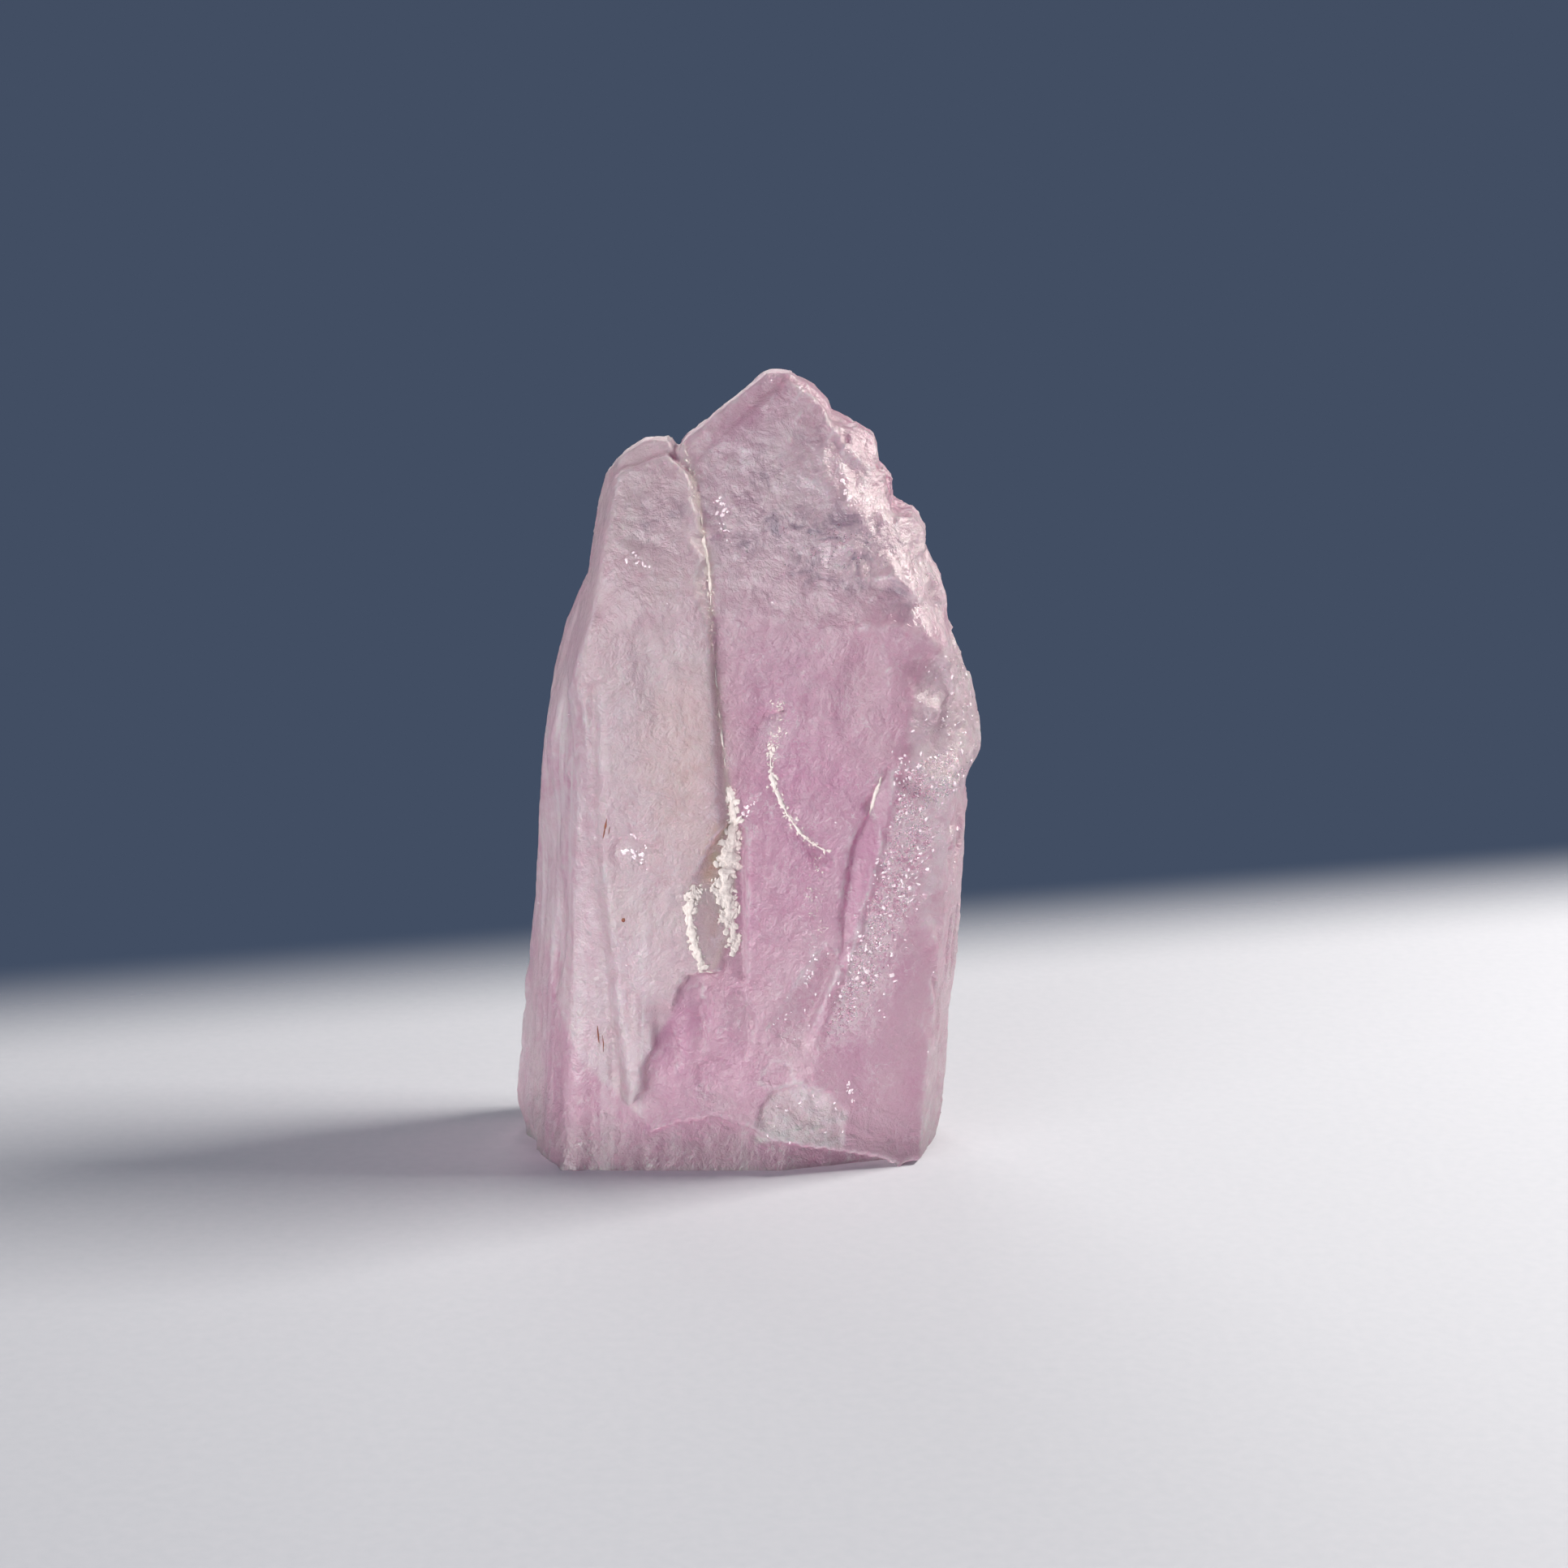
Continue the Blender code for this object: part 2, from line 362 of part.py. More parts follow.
def rose_material(name):
    """The finish of the whole crystal: frosted, rose and partly clear."""
    material = bpy.data.materials.new(name)
    material.use_nodes = True
    shader = material.node_tree.nodes["Principled BSDF"]
    shader.inputs["Base Color"].default_value = ROSE
    shader.inputs["Roughness"].default_value = ROSE_ROUGHNESS
    shader.inputs["IOR"].default_value = KUNZITE_IOR
    shader.inputs["Transmission Weight"].default_value = KUNZITE_CLARITY
    return material


def combine(body, tool, operation):
    """Joins the tool to the body or cuts it away, and hides the tool."""
    step = body.modifiers.new(tool.name, "BOOLEAN")
    step.operation = operation
    step.solver = "EXACT"
    step.object = tool
    tool.hide_render = True
    tool.display_type = "WIRE"


def chip(body, name, outline, floor, depths):
    """Takes a flake off the front or the back: the outline is cut in, down to the floor
    through three points."""
    outside, end = depths
    middle = sum(x for x, z in outline) / len(outline)
    flake = slab(outline, outside, end)
    cleave(flake, floor, (middle, outside, floor[0][2]))
    combine(body, named(name, flake), "DIFFERENCE")


def scoop(body, name, point, facing, half_length, half_width, depth, turn):
    """Breaks a shallow, long, slightly hackly shell out of the surface."""
    form = bmesh.new()
    bmesh.ops.create_icosphere(form, subdivisions=SCOOP_DETAIL, radius=MM)
    for corner in form.verts:
        corner.co *= 1.0 + chance.uniform(-SCOOP_ROUGHNESS, SCOOP_ROUGHNESS)
    facing = Vector(facing).normalized()
    spread = 1.0 / math.sqrt(1.0 - (1.0 - 1.0 / SCOOP_SINK) ** 2)
    sizes = Matrix.Diagonal((half_width * spread, half_length * spread, SCOOP_SINK * depth, 1.0))
    turned = facing.to_track_quat("Z", "Y").to_matrix().to_4x4()
    turned @= Matrix.Rotation(math.radians(turn), 4, "Z")
    centre = Vector(point) + facing * (SCOOP_SINK - 1.0) * depth
    bmesh.ops.transform(form, matrix=Matrix.Translation(centre * MM) @ turned @ sizes, verts=form.verts[:])
    combine(body, named(name, form), "DIFFERENCE")


def furrow(body, name, centre, half_length, radius, lean):
    """Cuts a spindle that tapers out at both ends, as a growth line does."""
    form = bmesh.new()
    bmesh.ops.create_uvsphere(form, u_segments=FURROW_SIDES, v_segments=FURROW_RINGS, radius=MM)
    along = Matrix.Shear("XY", 4, (lean, 0.0)) @ Matrix.Diagonal((radius, radius, half_length, 1.0))
    bmesh.ops.transform(form, matrix=Matrix.Translation(Vector(centre) * MM) @ along, verts=form.verts[:])
    combine(body, named(name, form), "DIFFERENCE")


for thing in list(bpy.data.objects):
    bpy.data.objects.remove(thing)

chance = random.Random(CHANCE_SEED)
crystal = grown(
    "kunzite_crystal", MAIN_BODY_OUTLINE, BODY_FRONT, MAIN_BODY_BACK, MAIN_BODY_FACES, MAIN_INSIDE
)
crystal.data.materials.append(rose_material("kunzite"))
left_body = grown("left_body", LEFT_BODY_OUTLINE, BODY_FRONT, LEFT_BODY_BACK, LEFT_BODY_FACES, LEFT_INSIDE)
left_front = grown("left_front", LEFT_OUTLINE, GROWTH_FRONT, PLATE_BACK, LEFT_FACES, LEFT_INSIDE)
main_front = grown("main_front", MAIN_OUTLINE, GROWTH_FRONT, PLATE_BACK, MAIN_FACES, MAIN_INSIDE)
knob = grown("knob", KNOB_OUTLINE, GROWTH_FRONT, KNOB_BACK, KNOB_FACES, KNOB_INSIDE)
for growth in (left_body, left_front, main_front, knob):
    combine(crystal, growth, "UNION")
for name, (outline, front, back, face) in LUMPS.items():
    combine(crystal, grown(name, outline, front, back, [face], LUMP_INSIDE), "UNION")

for name, (outline, floor) in FRONT_CHIPS.items():
    chip(crystal, name, outline, floor, CHIP_DEPTHS_FRONT)
for name, (outline, floor) in BACK_CHIPS.items():
    chip(crystal, name, outline, floor, CHIP_DEPTHS_BACK)
for name, shell in SCOOPS.items():
    scoop(crystal, f"{name}_scoop", *shell)
for name, (start, end, facing, count) in WORN_EDGES.items():
    for number in range(count):
        point = Vector(start).lerp(Vector(end), (number + chance.uniform(0.1, 0.9)) / count)
        sizes = [chance.uniform(*span) for span in (WORN_LENGTHS, WORN_WIDTHS, WORN_DEPTHS)]
        scoop(crystal, f"{name}_{number}", point, facing, *sizes, chance.uniform(-WORN_TURN, WORN_TURN))
for name, (near, far, heights, count, lengths, radii, lean) in FURROW_FIELDS.items():
    out = Vector((near[1] - far[1], far[0] - near[0])).normalized()
    if out.dot(Vector(near)) < 0:
        out.negate()
    for number in range(count):
        across = (number + chance.uniform(0.1, 0.9)) / count
        height = chance.uniform(*heights)
        radius = chance.uniform(*radii)
        spot = Vector(near).lerp(Vector(far), across) + out * radius * FURROW_SINK
        spot.x -= lean * (sum(heights) / 2 - height)
        furrow(crystal, f"{name}_{number}", (*spot, height), chance.uniform(*lengths), radius, lean)
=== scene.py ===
# %% [markdown]
# # A raw kunzite crystal
# Kunzite is the rose variety of spodumene. This one is a broken piece of two crystals that grew side by
# side: a pale one on the left, a deeper rose one on the right, and a seam with a white crust between them.
# The solid from the CAD step gives the flat faces and the breaks. This script wraps a fine skin round that
# solid, weathers and etches it, colours it, and stands it on a pale floor in soft studio light.

import bmesh
import bpy
import numpy as np
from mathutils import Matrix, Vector


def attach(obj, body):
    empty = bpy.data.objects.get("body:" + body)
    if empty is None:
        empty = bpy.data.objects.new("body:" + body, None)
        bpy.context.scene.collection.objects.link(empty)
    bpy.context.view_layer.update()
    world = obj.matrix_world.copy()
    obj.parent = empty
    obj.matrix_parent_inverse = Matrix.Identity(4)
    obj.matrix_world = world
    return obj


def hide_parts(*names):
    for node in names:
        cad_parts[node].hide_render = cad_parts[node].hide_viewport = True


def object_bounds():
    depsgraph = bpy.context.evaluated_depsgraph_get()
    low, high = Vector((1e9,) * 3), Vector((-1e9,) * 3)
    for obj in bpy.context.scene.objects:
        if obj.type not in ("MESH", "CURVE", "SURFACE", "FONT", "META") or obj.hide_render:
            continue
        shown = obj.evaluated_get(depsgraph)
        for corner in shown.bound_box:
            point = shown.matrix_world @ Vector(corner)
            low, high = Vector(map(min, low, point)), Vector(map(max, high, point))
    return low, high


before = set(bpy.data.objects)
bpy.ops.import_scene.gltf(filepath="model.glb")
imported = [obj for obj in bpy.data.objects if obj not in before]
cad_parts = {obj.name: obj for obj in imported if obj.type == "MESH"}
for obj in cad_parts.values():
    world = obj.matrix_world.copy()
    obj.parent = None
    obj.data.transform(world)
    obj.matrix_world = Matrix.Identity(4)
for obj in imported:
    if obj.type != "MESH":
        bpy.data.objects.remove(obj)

MM = 0.001
SOLID = "kunzite_crystal"
cad_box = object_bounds()
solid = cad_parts[SOLID]
print("solid box, mm:", [[round(value / MM, 2) for value in corner] for corner in cad_box])

# %% [markdown]
# ## Numbers that look random and change smoothly
# A natural surface needs heights that look random, change smoothly from place to place, and come out the
# same in each run. Lattice noise does that: every corner of a cubic lattice gets a number from its own
# whole coordinates, and a point between the corners blends the eight numbers round it. The noise is then
# summed over smaller and smaller lattices, as real surfaces have small bumps on their large ones. The
# functions take whole arrays of points, which is shorter and faster than a loop.

# %% Soft steps and lattice noise
LARGEST_HASH = 0xFFFFFFFF


def soft_step(start, end, value):
    """0 before start, 1 after end, and t * t * (3 - 2t) between them."""
    part = np.clip((value - start) / (end - start), 0.0, 1.0)
    return part * part * (3.0 - 2.0 * part)


def lattice_number(corner, seed):
    """A number from 0 to 1 for each whole lattice corner: its coordinates times large primes, mixed."""
    mixed = corner[..., 0] * 73856093 ^ corner[..., 1] * 19349663 ^ corner[..., 2] * 83492791
    mixed = (mixed ^ seed * 668265263) & LARGEST_HASH
    mixed = (mixed ^ mixed >> 15) * 739982445 & LARGEST_HASH
    mixed = (mixed ^ mixed >> 12) * 695872825 & LARGEST_HASH
    return (mixed ^ mixed >> 15) / LARGEST_HASH


def noise(points, size, seed):
    """Lattice noise from -1 to 1: the eight corner numbers round each point, blended by soft weights."""
    cell = points / size
    low = np.floor(cell).astype(np.int64)
    part = cell - low
    weight = part * part * (3.0 - 2.0 * part)
    total = np.zeros(points.shape[:-1])
    for corner in np.ndindex(2, 2, 2):
        share = np.prod(np.where(corner, weight, 1.0 - weight), axis=-1)
        total += share * lattice_number(low + np.array(corner), seed)
    return 2.0 * total - 1.0


def rough(points, size, seed, octaves=4):
    """Noise summed over octaves, each half the size and half the height of the one before."""
    return sum(noise(points, size / 2**n, seed + n) / 2**n for n in range(octaves))


# %% [markdown]
# ## The shape of a hackly break
# Where spodumene breaks across its cleavage, the surface is hackly: many small flat bits that tilt this
# way and that, with little steps between them. Cells round scattered centres give just that when each
# cell is one tilted plane. The points can be shifted by a noise first, so that the cells aren't straight.

# %% Tilted cells
def hackle(points, size, seed, shift=0.0):
    """Each point takes the cell of its nearest jittered centre, and its height is the way from that
    centre times the cell's own random slope. Shift moves the points by a noise of this many mm."""
    cell = (points + shift * noise(points, size * 0.6, seed + 2)[..., None]) / size
    low = np.floor(cell).astype(np.int64)
    nearest = np.full(points.shape[:-1], 9.0)
    height = np.zeros(points.shape[:-1])
    for step in np.ndindex(3, 3, 3):
        corner = low + np.array(step) - 1
        jitter = np.stack([lattice_number(corner, seed + n) for n in range(3)], axis=-1)
        slope = np.stack([lattice_number(corner, seed + 3 + n) for n in range(3)], axis=-1)
        away = cell - corner - jitter
        distance = np.linalg.norm(away, axis=-1)
        closer = distance < nearest
        nearest = np.where(closer, distance, nearest)
        height = np.where(closer, (away * (2.0 * slope - 1.0)).sum(axis=-1), height)
    return height


# %% [markdown]
# ## A capsule round the crystal
# The skin is one closed grid of points, a function of two parameters: how far round the crystal, and how
# far up. It starts as a capsule that stands well clear of the solid. Its cross-section is a stadium, two
# straight walls and two round ends, because the crystal is tabular: from the straight walls the points
# then go straight in to the broad faces, so the grid stays even there. Above the shoulder the capsule
# closes in a dome. The columns are closest together at the front, which shows the most detail.

# %% Columns round the crystal
WALL_LEFT, WALL_RIGHT = -6.5, 7.0
WALL_COLUMNS = 98
END_FRONT_COLUMNS = 50
END_BACK_COLUMNS = 28

quarter_front = np.linspace(-90.0, 0.0, END_FRONT_COLUMNS + 1)[1:]
quarter_back = np.linspace(0.0, 90.0, END_BACK_COLUMNS + 1)[1:-1]
right_end = np.concatenate([quarter_front, quarter_back])
left_end = 180.0 - right_end[::-1]
wall = np.linspace(WALL_LEFT, WALL_RIGHT, WALL_COLUMNS)
on_right_end = np.full(len(right_end), WALL_RIGHT)
on_left_end = np.full(len(left_end), WALL_LEFT)
on_wall = np.full(len(wall), 90.0)
spine_x = np.concatenate([wall, on_right_end, wall[::-1], on_left_end])
facing = np.radians(np.concatenate([-on_wall, right_end, on_wall, left_end]))
print("columns:", len(spine_x))

# %% Rows up the crystal, and the capsule as a mesh
SHOULDER = 27.0
CLEARANCE = 14.0
DOME_HEIGHT = 17.5
TUBE_ROWS = 178
DOME_ROWS = 92


def capsule():
    """Points (row, column, xyz). Tube rows: the spine point plus the clearance in the column's direction.
    Dome rows: the clearance shrinks by a cosine while the height grows by a sine, as in an ellipse."""
    up = np.concatenate([np.linspace(0.02, SHOULDER, TUBE_ROWS + 1)[:-1], np.full(DOME_ROWS, SHOULDER)])
    lift = np.concatenate([np.zeros(TUBE_ROWS), np.linspace(0.0, np.pi / 2, DOME_ROWS)])
    out = CLEARANCE * np.cos(lift)[:, None]
    x = spine_x + out * np.cos(facing)
    y = out * np.sin(facing)
    z = up[:, None] + np.sin(lift)[:, None] * DOME_HEIGHT
    return np.stack(np.broadcast_arrays(x, y, z), axis=-1)


def grid_faces(grid):
    """Faces of a grid (row, column, xyz) that is closed round its columns. Each joins four neighbours."""
    rows, columns = grid.shape[:2]
    index = np.arange(rows * columns).reshape(rows, columns)
    right = np.roll(index, -1, axis=1)
    return np.stack([index[:-1], right[:-1], right[1:], index[1:]], axis=-1).reshape(-1, 4)


def in_scene(name, data):
    """A new object in the scene that holds this mesh, light or camera."""
    made = bpy.data.objects.new(name, data)
    bpy.context.scene.collection.objects.link(made)
    return made


def mesh_object(name, points, faces):
    """A mesh in the scene from points in millimetres."""
    mesh = bpy.data.meshes.new(name)
    mesh.from_pydata((points.reshape(-1, 3) * MM).tolist(), [], faces.tolist())
    return in_scene(name, mesh)


start = capsule()
guide = mesh_object("guide", start, grid_faces(start))
print("capsule points:", start.shape)

# %% [markdown]
# ## Wrapping the skin on the solid
# Blender's Shrinkwrap modifier in Project mode sends each point of the capsule along its own normal until
# it meets the solid. The evaluated mesh is read back into the same grid, and the helper is removed. Now
# every facet and chip of the solid is in the skin, and the skin is fine enough for more detail.

# %% Project the capsule on the solid
LEAST_WAY = 0.5
projection = guide.modifiers.new("projection", "SHRINKWRAP")
projection.target = solid
projection.wrap_method = "PROJECT"
projection.use_negative_direction = True
projection.use_positive_direction = False
landed = guide.evaluated_get(bpy.context.evaluated_depsgraph_get()).data
flat = np.empty(len(landed.vertices) * 3)
landed.vertices.foreach_get("co", flat)
wrapped = flat.reshape(start.shape) / MM
bpy.data.objects.remove(guide)
missed = np.linalg.norm(wrapped - start, axis=-1) < LEAST_WAY
print("points that met nothing:", int(missed.sum()), "highest z:", round(wrapped[..., 2].max(), 3))

# %% [markdown]
# ## Closing the top and the foot
# The dome's last row is folded together into a crest line, so the front and the back wall meet without
# a gap. At the foot a few more rows run inwards on the floor to the spine line and close the bottom.

# %% Close the top and the foot
FOOT_STEPS = (0.0, 0.3, 0.6, 1.0)
behind = len(wall) + len(right_end) + np.arange(len(wall))[::-1]


def close_crest(points):
    """The front and the back wall meet in one crest line, and each round end meets in one point."""
    crest = (points[-1, : len(wall)] + points[-1, behind]) / 2.0
    points[-1, : len(wall)] = crest
    points[-1, behind] = crest
    points[-1, len(wall) : len(wall) + len(right_end)] = crest[-1]
    points[-1, len(wall) * 2 + len(right_end) :] = crest[0]
    return points


def close_foot(points):
    """Adds rows below the first one: its outline at z = 0, shrunk step by step to the spine line."""
    spine = np.stack([spine_x, np.zeros_like(spine_x), np.zeros_like(spine_x)], axis=-1)
    outline = points[0] * (1.0, 1.0, 0.0)
    rows = [spine + (outline - spine) * step for step in FOOT_STEPS]
    return np.concatenate([np.array(rows), points])


# %% [markdown]
# ## Softening
# No edge of a natural crystal is perfectly sharp. One round in which each point moves half way to the
# average of its neighbours blunts the edges by about a tenth of a millimetre and leaves the faces flat.

# %% Soften the edges
def softened(points, rounds):
    """Each point moves half way to the average of its four neighbours, this many times."""
    for _ in range(rounds):
        across = (np.roll(points, 1, axis=1) + np.roll(points, -1, axis=1)) / 2.0
        inner = (across[1:-1] + (points[2:] + points[:-2]) / 2.0) / 2.0
        points = np.concatenate([points[:1], (points[1:-1] + inner) / 2.0, points[-1:]])
    return points


def outward(points):
    """Unit normals of the grid: the cross product of the steps along a row and up a column."""
    along = np.roll(points, -1, axis=1) - np.roll(points, 1, axis=1)
    upward = np.gradient(points, axis=0)
    normal = np.cross(along, upward)
    return normal / np.maximum(np.linalg.norm(normal, axis=-1, keepdims=True), 1e-9)


skin = close_crest(softened(wrapped, 1))
print("skin spacing at the front, mm:", round(float(np.abs(np.diff(skin[60, :90, 0])).mean()), 3))

# %% [markdown]
# ## Soft masks on the front
# Everything that differs from place to place, such as colour, milkiness and polish, is a mask: a number
# from 0 to 1 for each point of the skin. Three shapes of mask are enough: a soft oval, a line along a
# path, and the inside of an outline. All are given as (x, z) in millimetres in the front view.

# %% Ovals, lines and facets
x, y, z = np.moveaxis(skin, -1, 0)
front = soft_step(-1.0, -3.5, y)


def patch(centre_x, centre_z, half_width, half_height):
    """A soft oval on the front: e to the minus squared distance, in half widths and half heights."""
    across, upward = (x - centre_x) / half_width, (z - centre_z) / half_height
    return np.exp(-(across**2) - upward**2) * front


def away_from(path):
    """Distance in the front view from each skin point to the nearest stretch of a path."""
    path = np.array(path)
    begin, end = path[:-1, None, None], path[1:, None, None]
    point = np.stack([x, z], axis=-1)
    run = end - begin
    share = np.clip(((point - begin) * run).sum(-1) / (run**2).sum(-1), 0.0, 1.0)
    return np.linalg.norm(point - begin - share[..., None] * run, axis=-1).min(axis=0)


def strip(path, half_width):
    """A soft line on the front: 1 on the path, and 0 beyond the half width."""
    return soft_step(half_width, 0.0, away_from(path)) * front


def facet(outline, soft=0.1):
    """The inside of an outline, with an edge this soft: a point is inside where the outline passes its
    height an odd number of times on its right."""
    inside = np.zeros(x.shape, bool)
    for (x0, z0), (x1, z1) in zip(outline, outline[1:] + outline[:1]):
        passes = (z0 > z) != (z1 > z)
        inside ^= passes & (x < x0 + (z - z0) * (x1 - x0) / ((z1 - z0) or 1.0))
    away = away_from(outline + outline[:1])
    return soft_step(-soft, soft, np.where(inside, away, -away)) * front


# %% [markdown]
# ## Weathered places
# The dents in the photograph are shallow, and light scattered inside the crystal nearly hides them. So in
# some places the skin takes part of a shape that has been softened many times more: along the brow line,
# on the knob at the right, on an edge of the foot and in a few chips.

# %% Soften the weathered places
WEATHERED_ROUNDS = 80
BROW = [(-1.4, 29.4), (1.0, 29.5), (3.6, 29.9), (6.0, 29.6), (8.4, 28.9)]
FOOT_EDGE = [(-8.9, -0.5), (-8.9, 8.0)]
DENTS = [
    (8.8, 25.9, 1.4, 1.4), (0.9, 21.6, 1.6, 3.0), (-1.5, 5.2, 1.5, 1.6), (1.6, 5.8, 1.1, 0.9),
    (-5.5, 17.1, 1.2, 1.1), (-6.7, 29.1, 1.1, 1.1), (-4.2, 8.5, 0.9, 0.9), (3.6, 31.3, 1.4, 1.2),
    (2.4, 7.3, 1.2, 1.0), (4.6, 36.0, 1.0, 1.6), (6.3, 34.4, 1.2, 1.0), (7.6, 32.0, 1.0, 1.0),
    (-1.1, 32.4, 0.9, 1.2), (9.1, 13.6, 0.8, 1.0),
]
knob_side = soft_step(8.6, 9.8, x) * soft_step(17.5, 19.0, z) * soft_step(29.0, 27.5, z)
knob_side *= soft_step(-5.0, -4.0, y) * soft_step(4.0, 2.5, y)
left_side = 0.6 * soft_step(-6.6, -7.6, x) * soft_step(27.0, 22.0, z) * soft_step(3.0, 1.0, y)
back_dents = 0.8 * soft_step(2.0, 3.5, y) * soft_step(22.0, 24.0, z)
weathered = 0.8 * strip(BROW, 1.3) + strip(FOOT_EDGE, 1.4) + sum(1.1 * patch(*dent) for dent in DENTS)
weathered = np.clip(weathered + knob_side + left_side + back_dents, 0.0, 1.0)[..., None]
skin = close_crest(skin + weathered * (softened(skin, WEATHERED_ROUNDS) - skin))
normal = outward(skin)
x, y, z = np.moveaxis(skin, -1, 0)
print("share of the skin that is weathered:", round(float(weathered.mean()), 3))

# %% [markdown]
# ## The two crystals
# The seam climbs the front from the foot to the notch in the top. On the left crystal a plate has broken
# off low down, along a stepped edge, and the rose crystal shows under it. Both lines are given as points in
# the front view, and everything between them follows from which side of the lines a point is on.

# %% The seam and the broken edge
SEAM = [
    (-5.4, 3.0), (-5.1, 4.7), (-4.8, 6.8), (-3.8, 8.3), (-3.4, 9.6), (-2.7, 10.6), (-1.6, 11.0),
    (-0.9, 12.7), (-0.7, 14.8), (-0.7, 18.1), (-0.9, 20.0), (-1.3, 23.4), (-1.6, 27.9), (-1.8, 31.1),
    (-2.4, 34.3), (-3.0, 36.6),
]
BROKEN_EDGE = [
    (-10.7, 12.1), (-9.5, 8.1), (-8.1, 5.5), (-5.9, 3.4), (-4.9, 2.2), (-3.7, 2.6), (0.2, 2.4),
    (3.7, 1.3), (8.0, 0.0),
]
BACK_SEAM_X = -2.9
front = soft_step(-1.0, -3.5, y)
seam_places, seam_heights = zip(*SEAM)
seam_x = np.where(y < 0.0, np.interp(z, seam_heights, seam_places), BACK_SEAM_X)
above_edge = soft_step(-0.25, 0.25, z - np.interp(x, *zip(*BROKEN_EDGE)))
left_crystal = soft_step(0.15, -0.15, x - seam_x) * np.where(y < -2.0, above_edge, 1.0)
under_edge = (1.0 - above_edge) * front * soft_step(9.0, 7.5, x)
print("share of the skin on the left crystal:", round(float(left_crystal.mean()), 3))

# %% [markdown]
# ## Breaks, streaks and clear spots
# The left flank keeps long growth streaks. At the right the crystal is broken: a hackly knob, a glittering
# band below it, a milky rim, and a clear window in the foot. The top is the clearest part. A slow noise
# makes the borders wander, as they do on a broken stone.

# %% Places of the flank, the knob, the band and the rim
wobble = noise(skin, 2.2, 91)
ragged = rough(skin, 1.1, 93, 3)
flank = soft_step(-6.9, -8.0, x + 0.5 * wobble) * soft_step(28.0, 22.0, z)
low_flank = soft_step(-4.0, -5.5, x) * soft_step(15.0, 11.0, z)
streaked = np.maximum(flank, low_flank) * soft_step(4.5, 2.0, y) * (0.35 + 0.65 * above_edge)
from_knob = np.hypot((x - 10.4 - 0.12 * (z - 23.4)) / 2.3, (z - 23.6) / 3.9)
knob = soft_step(1.15, 0.85, from_knob) * soft_step(3.0, 0.0, y)
RIDGE = [(2.4, 1.0), (3.3, 6.4), (5.5, 12.3), (7.6, 20.6)]
ridge_places, ridge_heights = zip(*RIDGE)
past_ridge = x - np.interp(z, ridge_heights, ridge_places)
band = soft_step(-0.1, 0.25, past_ridge + 0.15 * ragged) * soft_step(3.4, 1.4, past_ridge + 0.5 * ragged)
band *= soft_step(22.0, 20.8, z) * soft_step(5.5, 8.5, z) * front
low_rim = soft_step(8.7, 9.8, x + 0.5 * ragged) * soft_step(22.0, 19.0, z)
high_rim = soft_step(7.4, 9.0, x + 0.5 * ragged) * soft_step(26.0, 28.5, z)
foot_rim = soft_step(2.0, 1.0, np.hypot((x - 10.6) / 1.1, (z - 3.2) / 2.8))
rim = np.clip(low_rim + high_rim + foot_rim, 0.0, 1.0)
crown = soft_step(27.2, 31.4, z + 1.4 * wobble) * front * (1.0 - left_crystal)
print("share of the front in the band:", round(float(band.sum() / front.sum()), 3))

# %% Outlines of the windows and breaks
WINDOW = [(0.5, 1.6), (0.5, 3.0), (1.2, 4.4), (2.6, 4.8), (4.1, 4.3), (5.0, 3.3), (4.8, 1.2), (3.0, 1.7)]
SMALL_WINDOW = [(0.6, 4.9), (1.3, 6.2), (2.2, 5.9), (2.4, 5.0), (1.4, 4.6)]
TRENCH = [
    (6.1, 19.2), (6.7, 17.3), (6.3, 15.9), (5.6, 13.4), (5.0, 10.4), (4.6, 11.3), (4.8, 14.4), (5.2, 17.3),
]
WEDGE = [(3.9, 12.3), (4.6, 11.4), (3.8, 9.4), (2.7, 6.8), (1.0, 7.7), (1.8, 9.0), (2.8, 10.8)]
EDGE_WIDTH = 0.16
window, trench, wedge = facet(WINDOW), facet(TRENCH), facet(WEDGE)
edges = np.maximum.reduce([
    strip(WINDOW + WINDOW[:1], EDGE_WIDTH), 0.8 * strip(SMALL_WINDOW + SMALL_WINDOW[:1], EDGE_WIDTH),
    0.7 * strip(TRENCH[:5], EDGE_WIDTH), 0.8 * strip(WEDGE[4:] + WEDGE[:1], EDGE_WIDTH),
])
print("skin points in the window:", int((window > 0.5).sum()))

# %% [markdown]
# ## Etching
# The solution that grew the crystal later ate at it again. It left a fine frosted grain, small hackly
# breaks, and long growth lines on the left side. Each is a height in millimetres along the normal of the
# skin: a pattern times how strong it is in each place. Patterns that are squeezed in z come out long.

# %% Etch the skin
high_up = soft_step(27.5, 30.0, z)
on_back = soft_step(2.0, 4.0, y)
# Frosted grain all over, and the small breaks that cover both crystals
height = 0.020 * rough(skin, 0.7, 11)
height += 0.045 * hackle(skin * (1.0, 1.0, 0.8), 0.9, 31, 0.25) * (1.0 - 0.45 * left_crystal)
# Larger and smaller breaks of the top
height += 0.085 * hackle(skin, 1.9, 41, 0.4) * high_up * (1.0 - 0.6 * left_crystal)
height += 0.045 * hackle(skin, 0.8, 47, 0.3) * high_up
# Growth lines: fine on the left flank, columns low at the left, and wide ones on the back
height += 0.070 * noise(skin * (1.0, 1.0, 0.12), 0.42, 51) * streaked
height += 0.120 * noise(skin * (1.0, 1.0, 0.03), 1.3, 53) * under_edge * soft_step(-5.0, -6.5, x)
height += 0.050 * noise(skin * (1.0, 1.0, 0.05), 0.9, 57) * on_back
